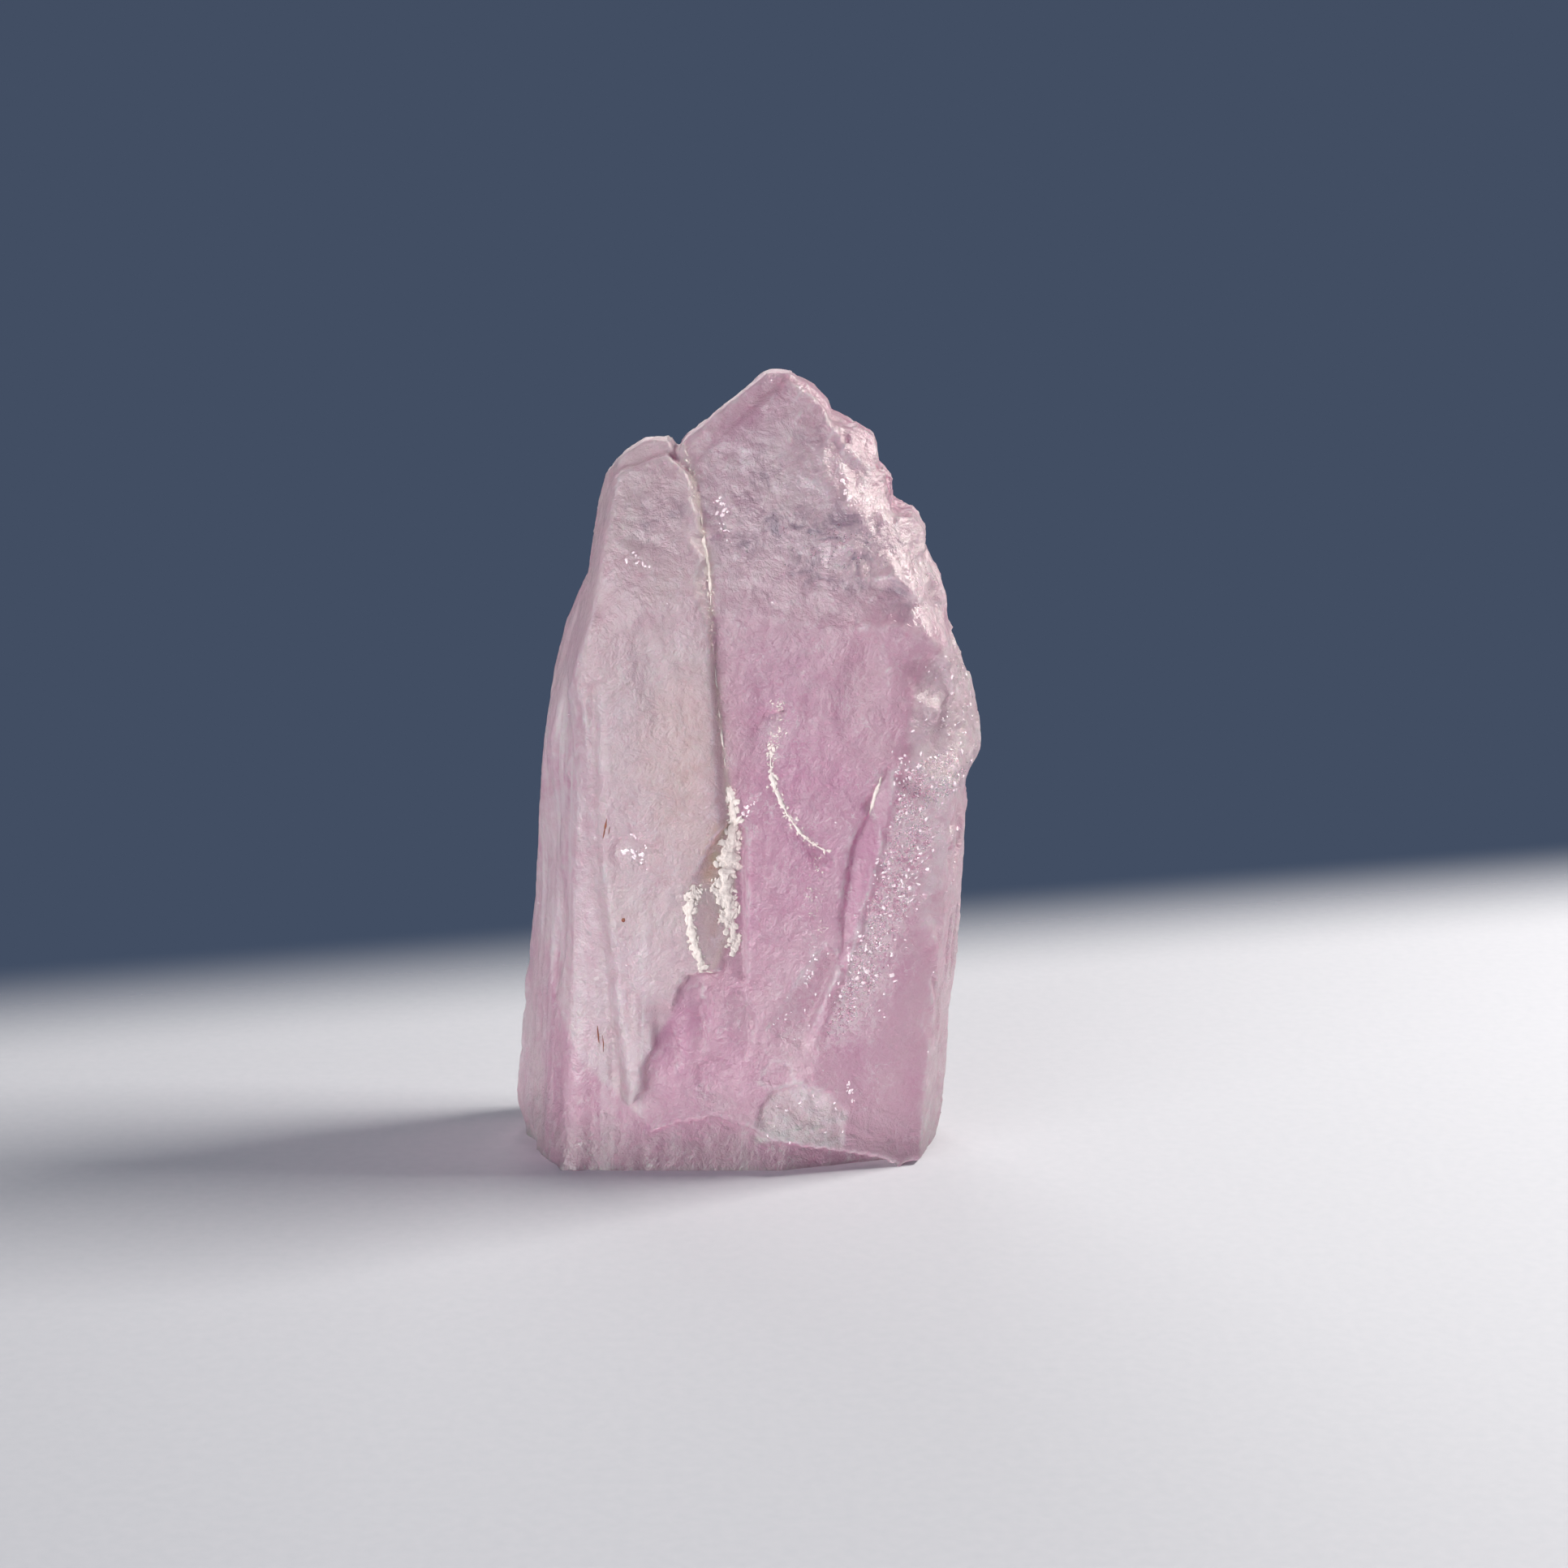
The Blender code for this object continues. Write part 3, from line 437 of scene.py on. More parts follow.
# Facets of the knob, of the band and of the window, which is a little sunk
height += 0.240 * hackle(skin, 1.9, 71, 0.15) * knob
height += 0.045 * hackle(skin, 0.5, 73) * band
height += (0.090 * hackle(skin, 1.5, 75, 0.2) - 0.03) * window
height += 0.030 * rough(skin, 0.35, 77, 2) * (0.4 + band + crown + 0.8 * knob)
# The crest stays closed
height[-1] = 0.0
skin = close_crest(skin + normal * height[..., None])
normal = outward(skin)
print("etching, mm: lowest", round(float(height.min()), 3), "highest", round(float(height.max()), 3))

# %% [markdown]
# ## Edges that catch the light
# On a real crystal the sharp outer edges are chipped white, and they also catch the light: here both are
# painted as a lighter colour. They can be found from the skin itself: where a softened copy of the skin lies
# further in than the skin, the surface is bent outwards.

# %% Find the worn edges, which are painted lighter
BEND_STARTS, BEND_FULL = -0.010, -0.030
softer = ((softened(skin, 2) - skin) * normal).sum(axis=-1)
worn_and_painted_highlight = soft_step(BEND_STARTS, BEND_FULL, softer)
print("share of the skin that is a worn edge:", round(float(worn_and_painted_highlight.mean()), 3))

# %% [markdown]
# ## Colour masks
# Four things change the colour of kunzite from place to place. Rose is how deep the pink is. Veil is how
# milky, from tiny cracks and bubbles, and it also carries painted light on the top and on the worn edges.
# Clear is where one looks into the grey depth, which is painted in as a grey shade. Glitter is where small
# broken faces
# flash: there lie painted glints and splinters. The material reads them from colour attributes of the mesh,
# three masks in each.

# %% Rose and clear
CLEAR_SPOTS = [
    (0.9, 5.4, 31.8, 2.4, 2.0), (0.6, -4.5, 33.4, 2.4, 1.3), (0.5, 1.6, 36.0, 2.2, 2.6),
    (0.7, 1.6, 32.0, 2.6, 1.8), (0.6, 8.4, 30.0, 1.6, 2.4), (0.3, -1.8, 4.2, 1.4, 0.8),
]
clear = 0.35 * knob + 0.15 * crown + sum(amount * patch(*oval) for amount, *oval in CLEAR_SPOTS)
rose = 0.54 + 0.38 * patch(2.0, 18.0, 5.5, 7.5) + 0.3 * patch(-2.8, 6.8, 2.4, 4.0)
rose += 0.25 * patch(-0.6, 37.0, 1.6, 1.6) - 0.2 * crown + 0.12 * wobble
rose += (0.16 + 0.14 * wobble + 0.25 * flank - rose) * left_crystal
rose += (0.75 - rose) * under_edge + 0.15 * trench
rose *= (1.0 - 0.95 * knob) * (1.0 - 0.7 * window) * (1.0 - 0.3 * rim)
print("mean rose and clear:", round(float(rose.mean()), 2), round(float(clear.mean()), 2))

# %% Painted glints, veil with painted light, and stain
LEAF = [(-1.2, 18.0), (-1.75, 16.8), (-1.75, 15.6)]
seam_line = strip(SEAM[5:], 0.28) * soft_step(9.0, 12.0, z)
ridge_line = strip([(7.4, 20.0), (6.5, 16.4), (5.4, 12.4), (4.4, 9.2)], 0.4)
wedge_line = strip([(3.7, 12.2), (3.0, 10.6), (2.2, 8.6)], 0.45)
# Where painted glints go in the colour, and where the splinters lie
painted_glints_and_splinters = 0.9 * ridge_line + 1.1 * wedge_line + 0.8 * band * soft_step(7.0, 10.0, z) + 0.4 * knob
painted_glints_and_splinters += 1.2 * patch(7.9, 21.2, 0.7, 1.0) + patch(8.7, 20.6, 0.8, 0.7) + 0.8 * patch(7.7, 15.8, 1.2, 1.2)
painted_glints_and_splinters += 0.5 * patch(10.5, 16.0, 0.4, 3.0) + 0.15 * window + 0.4 * wedge
veil_and_painted_light = 0.15 + 0.35 * left_crystal * (0.6 + 0.5 * wobble) + 0.5 * patch(1.6, 23.2, 0.7, 1.3) + 0.3 * streaked
# The crown's share is partly its milkiness and partly painted light, which brightens the top where its tilted
# faces get less light
veil_and_painted_light += 0.4 * band + 0.75 * window + 1.2 * knob + 0.5 * rim + 0.55 * crown + 0.5 * wedge_line
veil_and_painted_light += 0.4 * ridge_line + 0.8 * patch(9.6, 16.6, 0.5, 1.3) + 0.8 * patch(9.2, 13.6, 0.5, 1.6)
veil_and_painted_light *= (1.0 - 0.2 * under_edge) * (1.0 - trench)
# Worn edges are painted lighter: partly white chips, partly a painted highlight
veil_and_painted_light += (0.7 + 0.3 * knob) * worn_and_painted_highlight + edges
crazed = (band + 0.3 * wedge) * (1.0 - trench) + 0.35 * knob + 0.25 * rim + 0.1 * window
stain = strip(LEAF, 0.75) + 0.4 * patch(-3.0, 20.5, 2.2, 5.5) + 0.35 * patch(-1.6, 13.0, 0.7, 2.4)
streaks = np.maximum(streaked, 0.3 * under_edge)
print("mean veil and glitter:", round(float(veil_and_painted_light.mean()), 2), round(float(painted_glints_and_splinters.mean()), 2))

# %% [markdown]
# ## One closed mesh
# The grid becomes a mesh once more. Points that coincide at the crest and on the foot's spine are merged,
# so the mesh is closed and the light inside it behaves. The skin is kept within the box of the solid.

# %% Store the masks and close the mesh
SAME_POINT = 1e-7


def with_foot(values):
    """The mask with its first row repeated under it, for the rows that close the foot."""
    return np.concatenate([np.repeat(values[:1], len(FOOT_STEPS), axis=0), values])


def painted(piece, name, red, green, blue):
    """Stores three masks of the skin as the red, green and blue of one colour attribute."""
    layer = piece.data.attributes.new(name, "FLOAT_COLOR", "POINT")
    channels = [with_foot(np.clip(mask, 0.0, 1.0)) for mask in (red, green, blue, np.ones(z.shape))]
    layer.data.foreach_set("color", np.stack(channels, axis=-1).ravel())


def merged(piece, smooth=True):
    """Joins the points that coincide, so that poles and crests close, and sets smooth or flat shading."""
    whole = bmesh.new()
    whole.from_mesh(piece.data)
    bmesh.ops.remove_doubles(whole, verts=whole.verts, dist=SAME_POINT)
    open_edges = sum(not edge.is_manifold for edge in whole.edges)
    whole.to_mesh(piece.data)
    whole.free()
    piece.data.polygons.foreach_set("use_smooth", [smooth] * len(piece.data.polygons))
    triangles = sum(len(face.vertices) - 2 for face in piece.data.polygons)
    print(piece.name, "triangles:", triangles, "open edges:", open_edges)


low, high = (np.array(corner) / MM for corner in cad_box)
closed = np.clip(close_foot(skin), low, high)
crystal = mesh_object("kunzite", closed, grid_faces(closed))
painted(crystal, "regions", rose, veil_and_painted_light, clear)
painted(crystal, "marks", stain, streaks, seam_line)
painted(crystal, "breaks", painted_glints_and_splinters, crazed, np.zeros(z.shape))  # The third is spare
merged(crystal)
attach(crystal, "root")
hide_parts(SOLID)

# %% [markdown]
# ## A strand on the skin
# White powdery feldspar filled the seam and a curved crack. The core of each filling is a strand: a flat
# oval profile carried along a path on the skin, knobbly from noise, half sunk in the crystal and drawn to
# a point at both ends. A path is given as (x, z, width share), and its depth is read from the skin.

# %% Strands
STRAND_STEP = 0.07
STRAND_SIDES = 12
SMOOTH_DEPTH = np.ones(5) / 5.0
FACES_FRONT = -0.1
on_front = (skin[..., 1] < -0.5) & (normal[..., 1] < FACES_FRONT)
front_points, front_normals = skin[on_front], normal[on_front]
print("points for strands:", len(front_points))


def on_skin(places):
    """For each (x, z), the depth and the normal of the front skin point nearest to it in the front view."""
    away = ((front_points[None, :, ::2] - places[:, None, :]) ** 2).sum(-1)
    nearest = away.argmin(axis=1)
    return front_points[nearest, 1], front_normals[nearest]


def strand(path, half_width, height, knobs, seed, knob_size=0.35, square=0.3):
    """Grid (along, around): centre + side * width * cos + out * height * sin, times the end taper, and
    all of it times 1 + knobs * noise."""
    path = np.array(path)
    length = np.concatenate([[0.0], np.cumsum(np.linalg.norm(np.diff(path[:, :2], axis=0), axis=1))])
    along = np.linspace(0.0, length[-1], max(int(length[-1] / STRAND_STEP), 6))
    across, upward, widths = (np.interp(along, length, path[:, n]) for n in range(3))
    depth, out = on_skin(np.stack([across, upward], axis=-1))
    depth[2:-2] = np.convolve(depth, SMOOTH_DEPTH, "valid")
    centre = np.stack([across, depth, upward], axis=-1)
    side = np.cross(out, np.gradient(centre, axis=0))
    side /= np.linalg.norm(side, axis=-1, keepdims=True)
    share = np.linspace(-1.0, 1.0, len(along))
    taper = np.clip(1.0 - np.abs(share) ** (1.0 / square), 0.0, 1.0) ** 0.5
    turn = np.linspace(0.0, 2.0 * np.pi, STRAND_SIDES, endpoint=False)[None, :, None]
    ring = side[:, None, :] * (half_width * widths * taper)[:, None, None] * np.cos(turn)
    ring = ring + out[:, None, :] * (height * np.sqrt(widths) * taper)[:, None, None] * np.sin(turn)
    lumps = 1.0 + knobs * rough(centre[:, None, :] + ring, knob_size, seed, 2)
    return centre[:, None, :] + ring * lumps[..., None]


# %% [markdown]
# ## Crumbs on the skin
# Round each strand lie crumbs, and small splinters of the crystal itself lie where it broke. A crumb is an
# uneven ball of few corners: a sphere of two angles with every corner moved in or out at random. All the
# crumbs of a place are worked out together, as one array of (crumb, row, side, xyz).

# %% Crumbs
CRUMB_ROWS, CRUMB_SIDES = 5, 6
# Crumbs move this far off their skin points, in mm, to hide the grid
JITTER = 0.11
LOWEST_CRUMB = 0.3
# Strands and crumbs run the other way round than the capsule, so their faces turn too
CLOCKWISE = [0, 3, 2, 1]


def crumbs(chance, count, sizes, seed, sink=0.4, flat=0.5):
    """Skin points drawn by chance. Each gets the ball (sin u cos v, sin u sin v, cos u), stretched at
    random along the skin, flattened across it and sunk into it."""
    draw = np.random.default_rng(seed)
    share = (chance * (skin[..., 2] > LOWEST_CRUMB)).ravel()
    picked = draw.choice(share.size, count, p=share / share.sum())
    centre, out = skin.reshape(-1, 3)[picked], normal.reshape(-1, 3)[picked]
    side = np.cross(out, draw.normal(size=(count, 3)))
    side /= np.linalg.norm(side, axis=-1, keepdims=True)
    across = np.cross(out, side)
    along, aside = draw.uniform(-JITTER, JITTER, (count, 1)), draw.uniform(-JITTER, JITTER, (count, 1))
    centre = centre + side * along + across * aside
    rise = np.linspace(0.0, np.pi, CRUMB_ROWS)[:, None]
    turn = np.linspace(0.0, 2.0 * np.pi, CRUMB_SIDES, endpoint=False)
    ball = np.stack(
        [np.sin(rise) * np.cos(turn), np.sin(rise) * np.sin(turn), np.cos(rise) + 0.0 * turn], axis=-1
    )
    ball = ball * draw.uniform(0.65, 1.25, (count, CRUMB_ROWS, CRUMB_SIDES, 1))
    ball[:, 0], ball[:, -1] = (0.0, 0.0, 1.0), (0.0, 0.0, -1.0)
    long, narrow = draw.uniform(0.6, 1.5, count), draw.uniform(0.5, 1.0, count)
    stretch = np.stack([long, narrow, np.full(count, flat)])
    radius = draw.uniform(*sizes, count) * draw.uniform(0.6, 1.0, count)
    axes = np.stack([side, across, out], axis=1) * (stretch * radius).T[..., None]
    return list(centre[:, None, None, :] + np.einsum("nrsk,nkc->nrsc", ball - (0.0, 0.0, sink), axes))


def cluster(path, half_width, count, sizes, seed, sink=0.4, flat=0.5):
    """Crumbs strewn along a path of (x, z)."""
    return crumbs(strip(path, half_width), count, sizes, seed, sink, flat)


def joined(name, grids, material):
    """One mesh from several closed grids (row, column, xyz), merged at their ends, with its material."""
    vertices, faces, total = [], [], 0
    for grid in grids:
        faces.append(grid_faces(grid)[:, CLOCKWISE] + total)
        vertices.append(grid.reshape(-1, 3))
        total += len(vertices[-1])
    piece = mesh_object(name, np.concatenate(vertices), np.concatenate(faces))
    piece.data.materials.append(material)
    merged(piece, smooth=False)
    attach(piece, "root")
    return piece


# %% [markdown]
# ## Colours and shader nodes
# Colours are written as the hex codes that a colour picker shows. Those are sRGB, and the renderer works
# in linear light, so one function turns them. A second one adds a shader node with its settings and links.

# %% Helpers for materials
def colour(code):
    """An sRGB hex code as linear red, green, blue, and alpha 1."""
    shares = np.array([int(code[n : n + 2], 16) for n in (1, 3, 5)]) / 255.0
    linear = np.where(shares <= 0.04045, shares / 12.92, ((shares + 0.055) / 1.055) ** 2.4)
    return (*linear.tolist(), 1.0)


def node(material, kind, inputs=None, **settings):
    """Adds one shader node. Settings are its attributes, and each input, by name or number, gets a value
    or a link from another node's socket."""
    made = material.node_tree.nodes.new(kind)
    for name, value in settings.items():
        setattr(made, name, value)
    for key, value in (inputs or {}).items():
        if isinstance(value, bpy.types.NodeSocket):
            material.node_tree.links.new(value, made.inputs[key])
        else:
            made.inputs[key].default_value = value
    return made


def new_material(name):
    """A material without nodes yet."""
    made = bpy.data.materials.new(name)
    made.use_nodes = True
    made.node_tree.nodes.clear()
    return made


# %% [markdown]
# ## Kunzite
# Kunzite is clear spodumene, coloured pink by manganese. Its index of refraction is about 1.66. This one
# grew in a pocket of rock, was etched by the solution there and then broken, so its surface is frosted and
# its inside full of healed cracks. To the eye that means: light goes in, scatters under the surface and
# comes out softer and pinker, while the etched grain gives small glints. The material reads the masks,
# and the object's own coordinates in metres, so each pattern has a size in real millimetres.

# %% Masks and noises of the kunzite
# Each noise: its spots in mm, detail, roughness and distortion
NOISES = {
    "cloud": (3.2, 4.0, 0.55, 0.0),
    "wisps": (1.3, 6.0, 0.68, 0.6),
    "grain": (0.42, 4.0, 0.65, 0.0),
    "coarse": (1.1, 4.0, 0.62, 0.3),
    "fine": (0.48, 4.0, 0.65, 0.1),
    "places": (1.9, 3.0, 0.55, 0.0),
}
kunzite = new_material("kunzite_naturally_etched")
place = node(kunzite, "ShaderNodeTexCoord").outputs["Object"]
masks = {}
for name in ("regions", "marks", "breaks"):
    stored = node(kunzite, "ShaderNodeAttribute", attribute_name=name).outputs["Color"]
    masks[name] = node(kunzite, "ShaderNodeSeparateColor", {"Color": stored}).outputs
rose_mask, milk_and_painted_light_mask, clear_mask = masks["regions"]
stain_mask, streak_mask, seam_mask = masks["marks"]
painted_glint_mask, crazed_mask, _ = masks["breaks"]
noises = {}
for name, (size, detail, roughness, distortion) in NOISES.items():
    sockets = {"Vector": place, "Scale": 1.0 / (size * MM), "Detail": detail}
    sockets |= {"Roughness": roughness, "Distortion": distortion}
    noises[name] = node(kunzite, "ShaderNodeTexNoise", sockets).outputs[0]
print("noises of the kunzite:", len(noises))

# %% [markdown]
# The pink isn't even: a cloud some millimetres wide makes it paler and deeper. Where the crystal is clear,
# the grey depth that the eye sees behind is painted in as a grey shade, and by the seam iron has stained it
# tan.

# %% Body colour
paler_deeper = node(kunzite, "ShaderNodeMapRange", {"Value": noises["cloud"], "To Min": -0.4, "To Max": 0.4})
pinkness = node(
    kunzite, "ShaderNodeMath", {0: paler_deeper.outputs[0], 1: rose_mask}, operation="ADD", use_clamp=True
)
body = node(
    kunzite, "ShaderNodeMix", {0: pinkness.outputs[0], 6: colour("#EADDDD"), 7: colour("#D791BB")},
    data_type="RGBA",
)
# Painted shade: the grey depth seen through the clear places is painted in as a grey colour
painted_grey_depth = node(
    kunzite, "ShaderNodeMapRange",
    {"Value": noises["wisps"], "From Min": 0.56, "From Max": 0.38, "To Max": clear_mask},
)

# %% [markdown]
# White veils of tiny cracks lie in the crystal, and growth lines run up its left side. A ridge is where a
# noise passes its middle value, which is a thin winding line: ping-pong folds the noise there. Wide ridges
# are the crazed skin of the breaks, and narrow ones are single cracks.

# %% Veils, growth lines and cracks
# The milk layer also carries painted light: the lighter top and the lighter edges
milk_and_painted_light = node(
    kunzite, "ShaderNodeMapRange",
    {"Value": noises["wisps"], "From Min": 0.36, "From Max": 0.6, "To Max": milk_and_painted_light_mask},
)
upright = node(kunzite, "ShaderNodeMapping", {"Vector": place, "Scale": (1.0, 1.0, 0.07)}).outputs[0]
thin_lines, wide_lines = (
    node(kunzite, "ShaderNodeTexNoise", {"Vector": upright, "Scale": 1.0 / (size * MM), "Detail": 3.0})
    for size in (0.42, 1.4)
)
wide_streaks = node(
    kunzite, "ShaderNodeMapRange",
    {"Value": wide_lines.outputs[0], "From Min": 0.4, "From Max": 0.6, "To Max": streak_mask},
)
growth_lines = node(
    kunzite, "ShaderNodeMapRange",
    {"Value": thin_lines.outputs[0], "From Min": 0.45, "From Max": 0.6, "To Max": wide_streaks.outputs[0]},
)
coarse_ridge, fine_ridge = (
    node(kunzite, "ShaderNodeMath", {0: noises[name], 1: 0.5}, operation="PINGPONG").outputs[0]
    for name in ("coarse", "fine")
)
cracked_places = node(
    kunzite, "ShaderNodeMapRange",
    {"Value": noises["places"], "From Min": 0.48, "From Max": 0.64, "To Max": 0.6},
)
cracks = node(
    kunzite, "ShaderNodeMapRange",
    {"Value": coarse_ridge, "From Min": 0.476, "From Max": 0.498, "To Max": cracked_places.outputs[0]},
)
crazed_amount = node(kunzite, "ShaderNodeMath", {0: crazed_mask, 1: 0.8, 2: 0.08}, operation="MULTIPLY_ADD")
crazing = node(
    kunzite, "ShaderNodeMapRange",
    {"Value": fine_ridge, "From Min": 0.425, "From Max": 0.49, "To Max": crazed_amount.outputs[0]},
)

# %% [markdown]
# The smallest broken faces flash white, and here the flashes are painted glints, white specks in the colour.
# They are Voronoi cells 0.4 mm wide. About a quarter of the cells is kept, by their random colours, and each
# gives a small round speck. The real ones go down to a few hundredths of a millimetre, finer than the
# photograph shows.

# %% Painted glints
PAINTED_GLINT_CELL = 0.40
cells = node(kunzite, "ShaderNodeTexVoronoi", {"Vector": place, "Scale": 1.0 / (PAINTED_GLINT_CELL * MM)})
cell_number = node(kunzite, "ShaderNodeSeparateColor", {"Color": cells.outputs["Color"]})
painted_glint_amount = node(kunzite, "ShaderNodeMath", {0: painted_glint_mask, 1: 0.95, 2: 0.08}, operation="MULTIPLY_ADD")
kept_cells = node(
    kunzite, "ShaderNodeMapRange",
    {"Value": cell_number.outputs[0], "From Min": 0.7, "From Max": 0.74, "To Max": painted_glint_amount.outputs[0]},
)
# Painted highlight: the kept cells become white specks in the colour
painted_glints = node(
    kunzite, "ShaderNodeMapRange",
    {"Value": cells.outputs["Distance"], "From Min": 0.26, "From Max": 0.12, "To Max": kept_cells.outputs[0]},
)
seam_dust = node(
    kunzite, "ShaderNodeMapRange",
    {"Value": noises["wisps"], "From Min": 0.4, "From Max": 0.55, "To Max": seam_mask},
)

# %% [markdown]
# The colours lie over each other like glazes, the deepest first: the grey depth as painted shade, tan stain,
# milk with its painted light, growth lines, cracks, the crazed skin, painted glints, and last the dust in the
# seam.

# %% The layers of colour, one over the other
# The grey depth is painted shade, and the white glints are painted highlights
LAYERS = [
    (painted_grey_depth.outputs[0], "#908C9E"),
    (stain_mask, "#DDBF9C"),
    (milk_and_painted_light.outputs[0], "#FBF4F7"),
    (growth_lines.outputs[0], "#FBF5F7"),
    (cracks.outputs[0], "#FFFAFC"),
    (crazing.outputs[0], "#FFF8FA"),
    (painted_glints.outputs[0], "#FFFFFF"),
    (seam_dust.outputs[0], "#E8DDD2"),
]
tint = body.outputs[2]
for amount, tone in LAYERS:
    mix = node(kunzite, "ShaderNodeMix", {0: amount, 6: tint, 7: colour(tone)}, data_type="RGBA")
    tint = mix.outputs[2]
print("layers of colour:", len(LAYERS))

# %% [markdown]
# The etched grain makes the surface rough, about 0.4, and the clear and the broken places are glossier.
# The same patterns raise the surface by up to 0.2 mm for the light alone, as they are finer than the mesh.

# %% Roughness and relief
RELIEF_HEIGHT = 0.20
grainy = node(kunzite, "ShaderNodeMapRange", {"Value": noises["grain"], "To Min": 0.26, "To Max": 0.54})
glossier_breaks = node(
    kunzite, "ShaderNodeMath", {0: crazed_mask, 1: -0.12, 2: grainy.outputs[0]}, operation="MULTIPLY_ADD"
)
surface_roughness = node(
    kunzite, "ShaderNodeMath", {0: clear_mask, 1: -0.1, 2: glossier_breaks.outputs[0]},
    operation="MULTIPLY_ADD", use_clamp=True,
)
ridge_depth = node(kunzite, "ShaderNodeMath", {0: crazed_mask, 1: -2.4, 2: -0.2}, operation="MULTIPLY_ADD")
ridged = node(
    kunzite, "ShaderNodeMath", {0: fine_ridge, 1: ridge_depth.outputs[0], 2: noises["wisps"]},
    operation="MULTIPLY_ADD",
)
relief = node(
    kunzite, "ShaderNodeMath", {0: noises["grain"], 1: 0.6, 2: ridged.outputs[0]}, operation="MULTIPLY_ADD"
)
bump = node(
    kunzite, "ShaderNodeBump",
    {"Height": relief.outputs[0], "Strength": 0.9, "Distance": RELIEF_HEIGHT * MM},
)

# %% [markdown]
# Three quarters of the light is refracted into the crystal. Of the rest, most scatters up to a millimetre
# deep, red the farthest. The volume absorbs green, so that thick parts are pinker than thin ones.

# %% The shader of the kunzite
KUNZITE_IOR = 1.66
TRANSMITTED, SCATTERED = 0.75, 0.7
SCATTER_MM = 1.0
SCATTER_BY_COLOUR = (1.0, 0.6, 0.8)
ABSORPTION_PER_METRE = 40.0
shader = node(kunzite, "ShaderNodeBsdfPrincipled", {
    "Base Color": tint, "Roughness": surface_roughness.outputs[0], "Normal": bump.outputs[0],
    "IOR": KUNZITE_IOR, "Transmission Weight": TRANSMITTED, "Subsurface Weight": SCATTERED,
    "Subsurface Scale": SCATTER_MM * MM, "Subsurface Radius": SCATTER_BY_COLOUR,
})
absorption = node(
    kunzite, "ShaderNodeVolumeAbsorption",
    {"Color": colour("#E9B8D2"), "Density": ABSORPTION_PER_METRE},
)
node(kunzite, "ShaderNodeOutputMaterial", {"Surface": shader.outputs[0], "Volume": absorption.outputs[0]})
crystal.data.materials.append(kunzite)
print("nodes of the kunzite:", len(kunzite.node_tree.nodes))

# %% [markdown]
# ## Crust, splinters and rust
# The crust is feldspar that weathered to a white powder. It has no gloss, and light stays near its surface.
# The splinters are slivers of the crystal itself: as they are thin, they look nearly white and shine. The
# rusty spots are iron oxide from the rock, matt and dark. None of them is one flat colour, so each gets a
# grain a few tenths of a millimetre wide.

# %% Three small materials
PIT_DEPTH = 0.08
# Each finish: dark and light colour, grain in mm, roughness, IOR and transmission
FINISHES = {
    "feldspar_powder_crust": ("#B8ADA8", "#E6DFDB", 0.20, 0.75, 1.52, 0.0),
    "frosted_splinter": ("#E2CCD8", "#FBF3F7", 0.25, 0.22, KUNZITE_IOR, 0.2),
    "iron_stain": ("#4A3030", "#9A5C42", 0.17, 0.80, 1.50, 0.0),
}
finishes = {}
for name, (dark, light, grain_size, roughness, index, transmission) in FINISHES.items():
    made = new_material(name)
    here = node(made, "ShaderNodeTexCoord").outputs["Object"]
    powder_grain = node(
        made, "ShaderNodeTexNoise", {"Vector": here, "Scale": 1.0 / (grain_size * MM), "Detail": 3.0}
    ).outputs[0]
    tones = {0: powder_grain, 6: colour(dark), 7: colour(light)}
    mix = node(made, "ShaderNodeMix", tones, data_type="RGBA")
    pits = node(made, "ShaderNodeBump", {"Height": powder_grain, "Strength": 0.8, "Distance": PIT_DEPTH * MM})
    plain = node(made, "ShaderNodeBsdfPrincipled", {
        "Base Color": mix.outputs[2], "Normal": pits.outputs[0],
        "Roughness": roughness, "IOR": index, "Transmission Weight": transmission,
    })
    node(made, "ShaderNodeOutputMaterial", {"Surface": plain.outputs[0]})
    finishes[name] = made
print("finishes:", list(finishes))

# %% [markdown]
# ## The crust in the seam
# In the lower half of the seam the crust splits in two branches round a tan leaf of crystal. Higher up
# only a thin dusting is left in the seam.

# %% Seam crust
RIGHT_BRANCH = [
    (-0.75, 19.8, 0.3), (-0.65, 18.5, 0.9), (-0.65, 17.3, 1.0), (-0.8, 16.4, 1.4), (-0.95, 15.6, 1.5),
    (-1.06, 14.9, 0.8), (-0.9, 14.4, 0.6), (-0.78, 13.5, 0.9), (-0.66, 12.7, 0.8), (-0.6, 12.0, 0.4),
]
LEFT_BRANCH = [
    (-2.39, 14.95, 0.6), (-2.71, 14.4, 1.0), (-2.79, 13.85, 0.8), (-2.76, 13.35, 1.0),
    (-2.68, 12.85, 1.2), (-2.52, 12.2, 1.1), (-2.35, 11.6, 0.9), (-2.1, 10.9, 0.4),
]
DUSTING = [(-1.0, 21.0, 0.5), (-1.2, 22.9, 1.0), (-1.35, 24.3, 0.4), (-1.5, 26.0, 1.0), (-1.6, 27.2, 0.3)]
TOP_DUSTING = [
    (-1.62, 27.9, 0.5), (-1.75, 30.4, 0.8), (-2.0, 32.1, 1.6), (-2.15, 33.0, 0.6), (-2.35, 34.2, 0.4),
]
right_line, left_line = ([point[:2] for point in branch] for branch in (RIGHT_BRANCH, LEFT_BRANCH))
seam_grids = [
    strand(RIGHT_BRANCH, 0.34, 0.12, 0.8, 101, square=0.5), strand(LEFT_BRANCH, 0.16, 0.09, 0.8, 103),
    strand(DUSTING, 0.05, 0.04, 1.0, 111), strand(TOP_DUSTING, 0.06, 0.05, 1.0, 113),
]
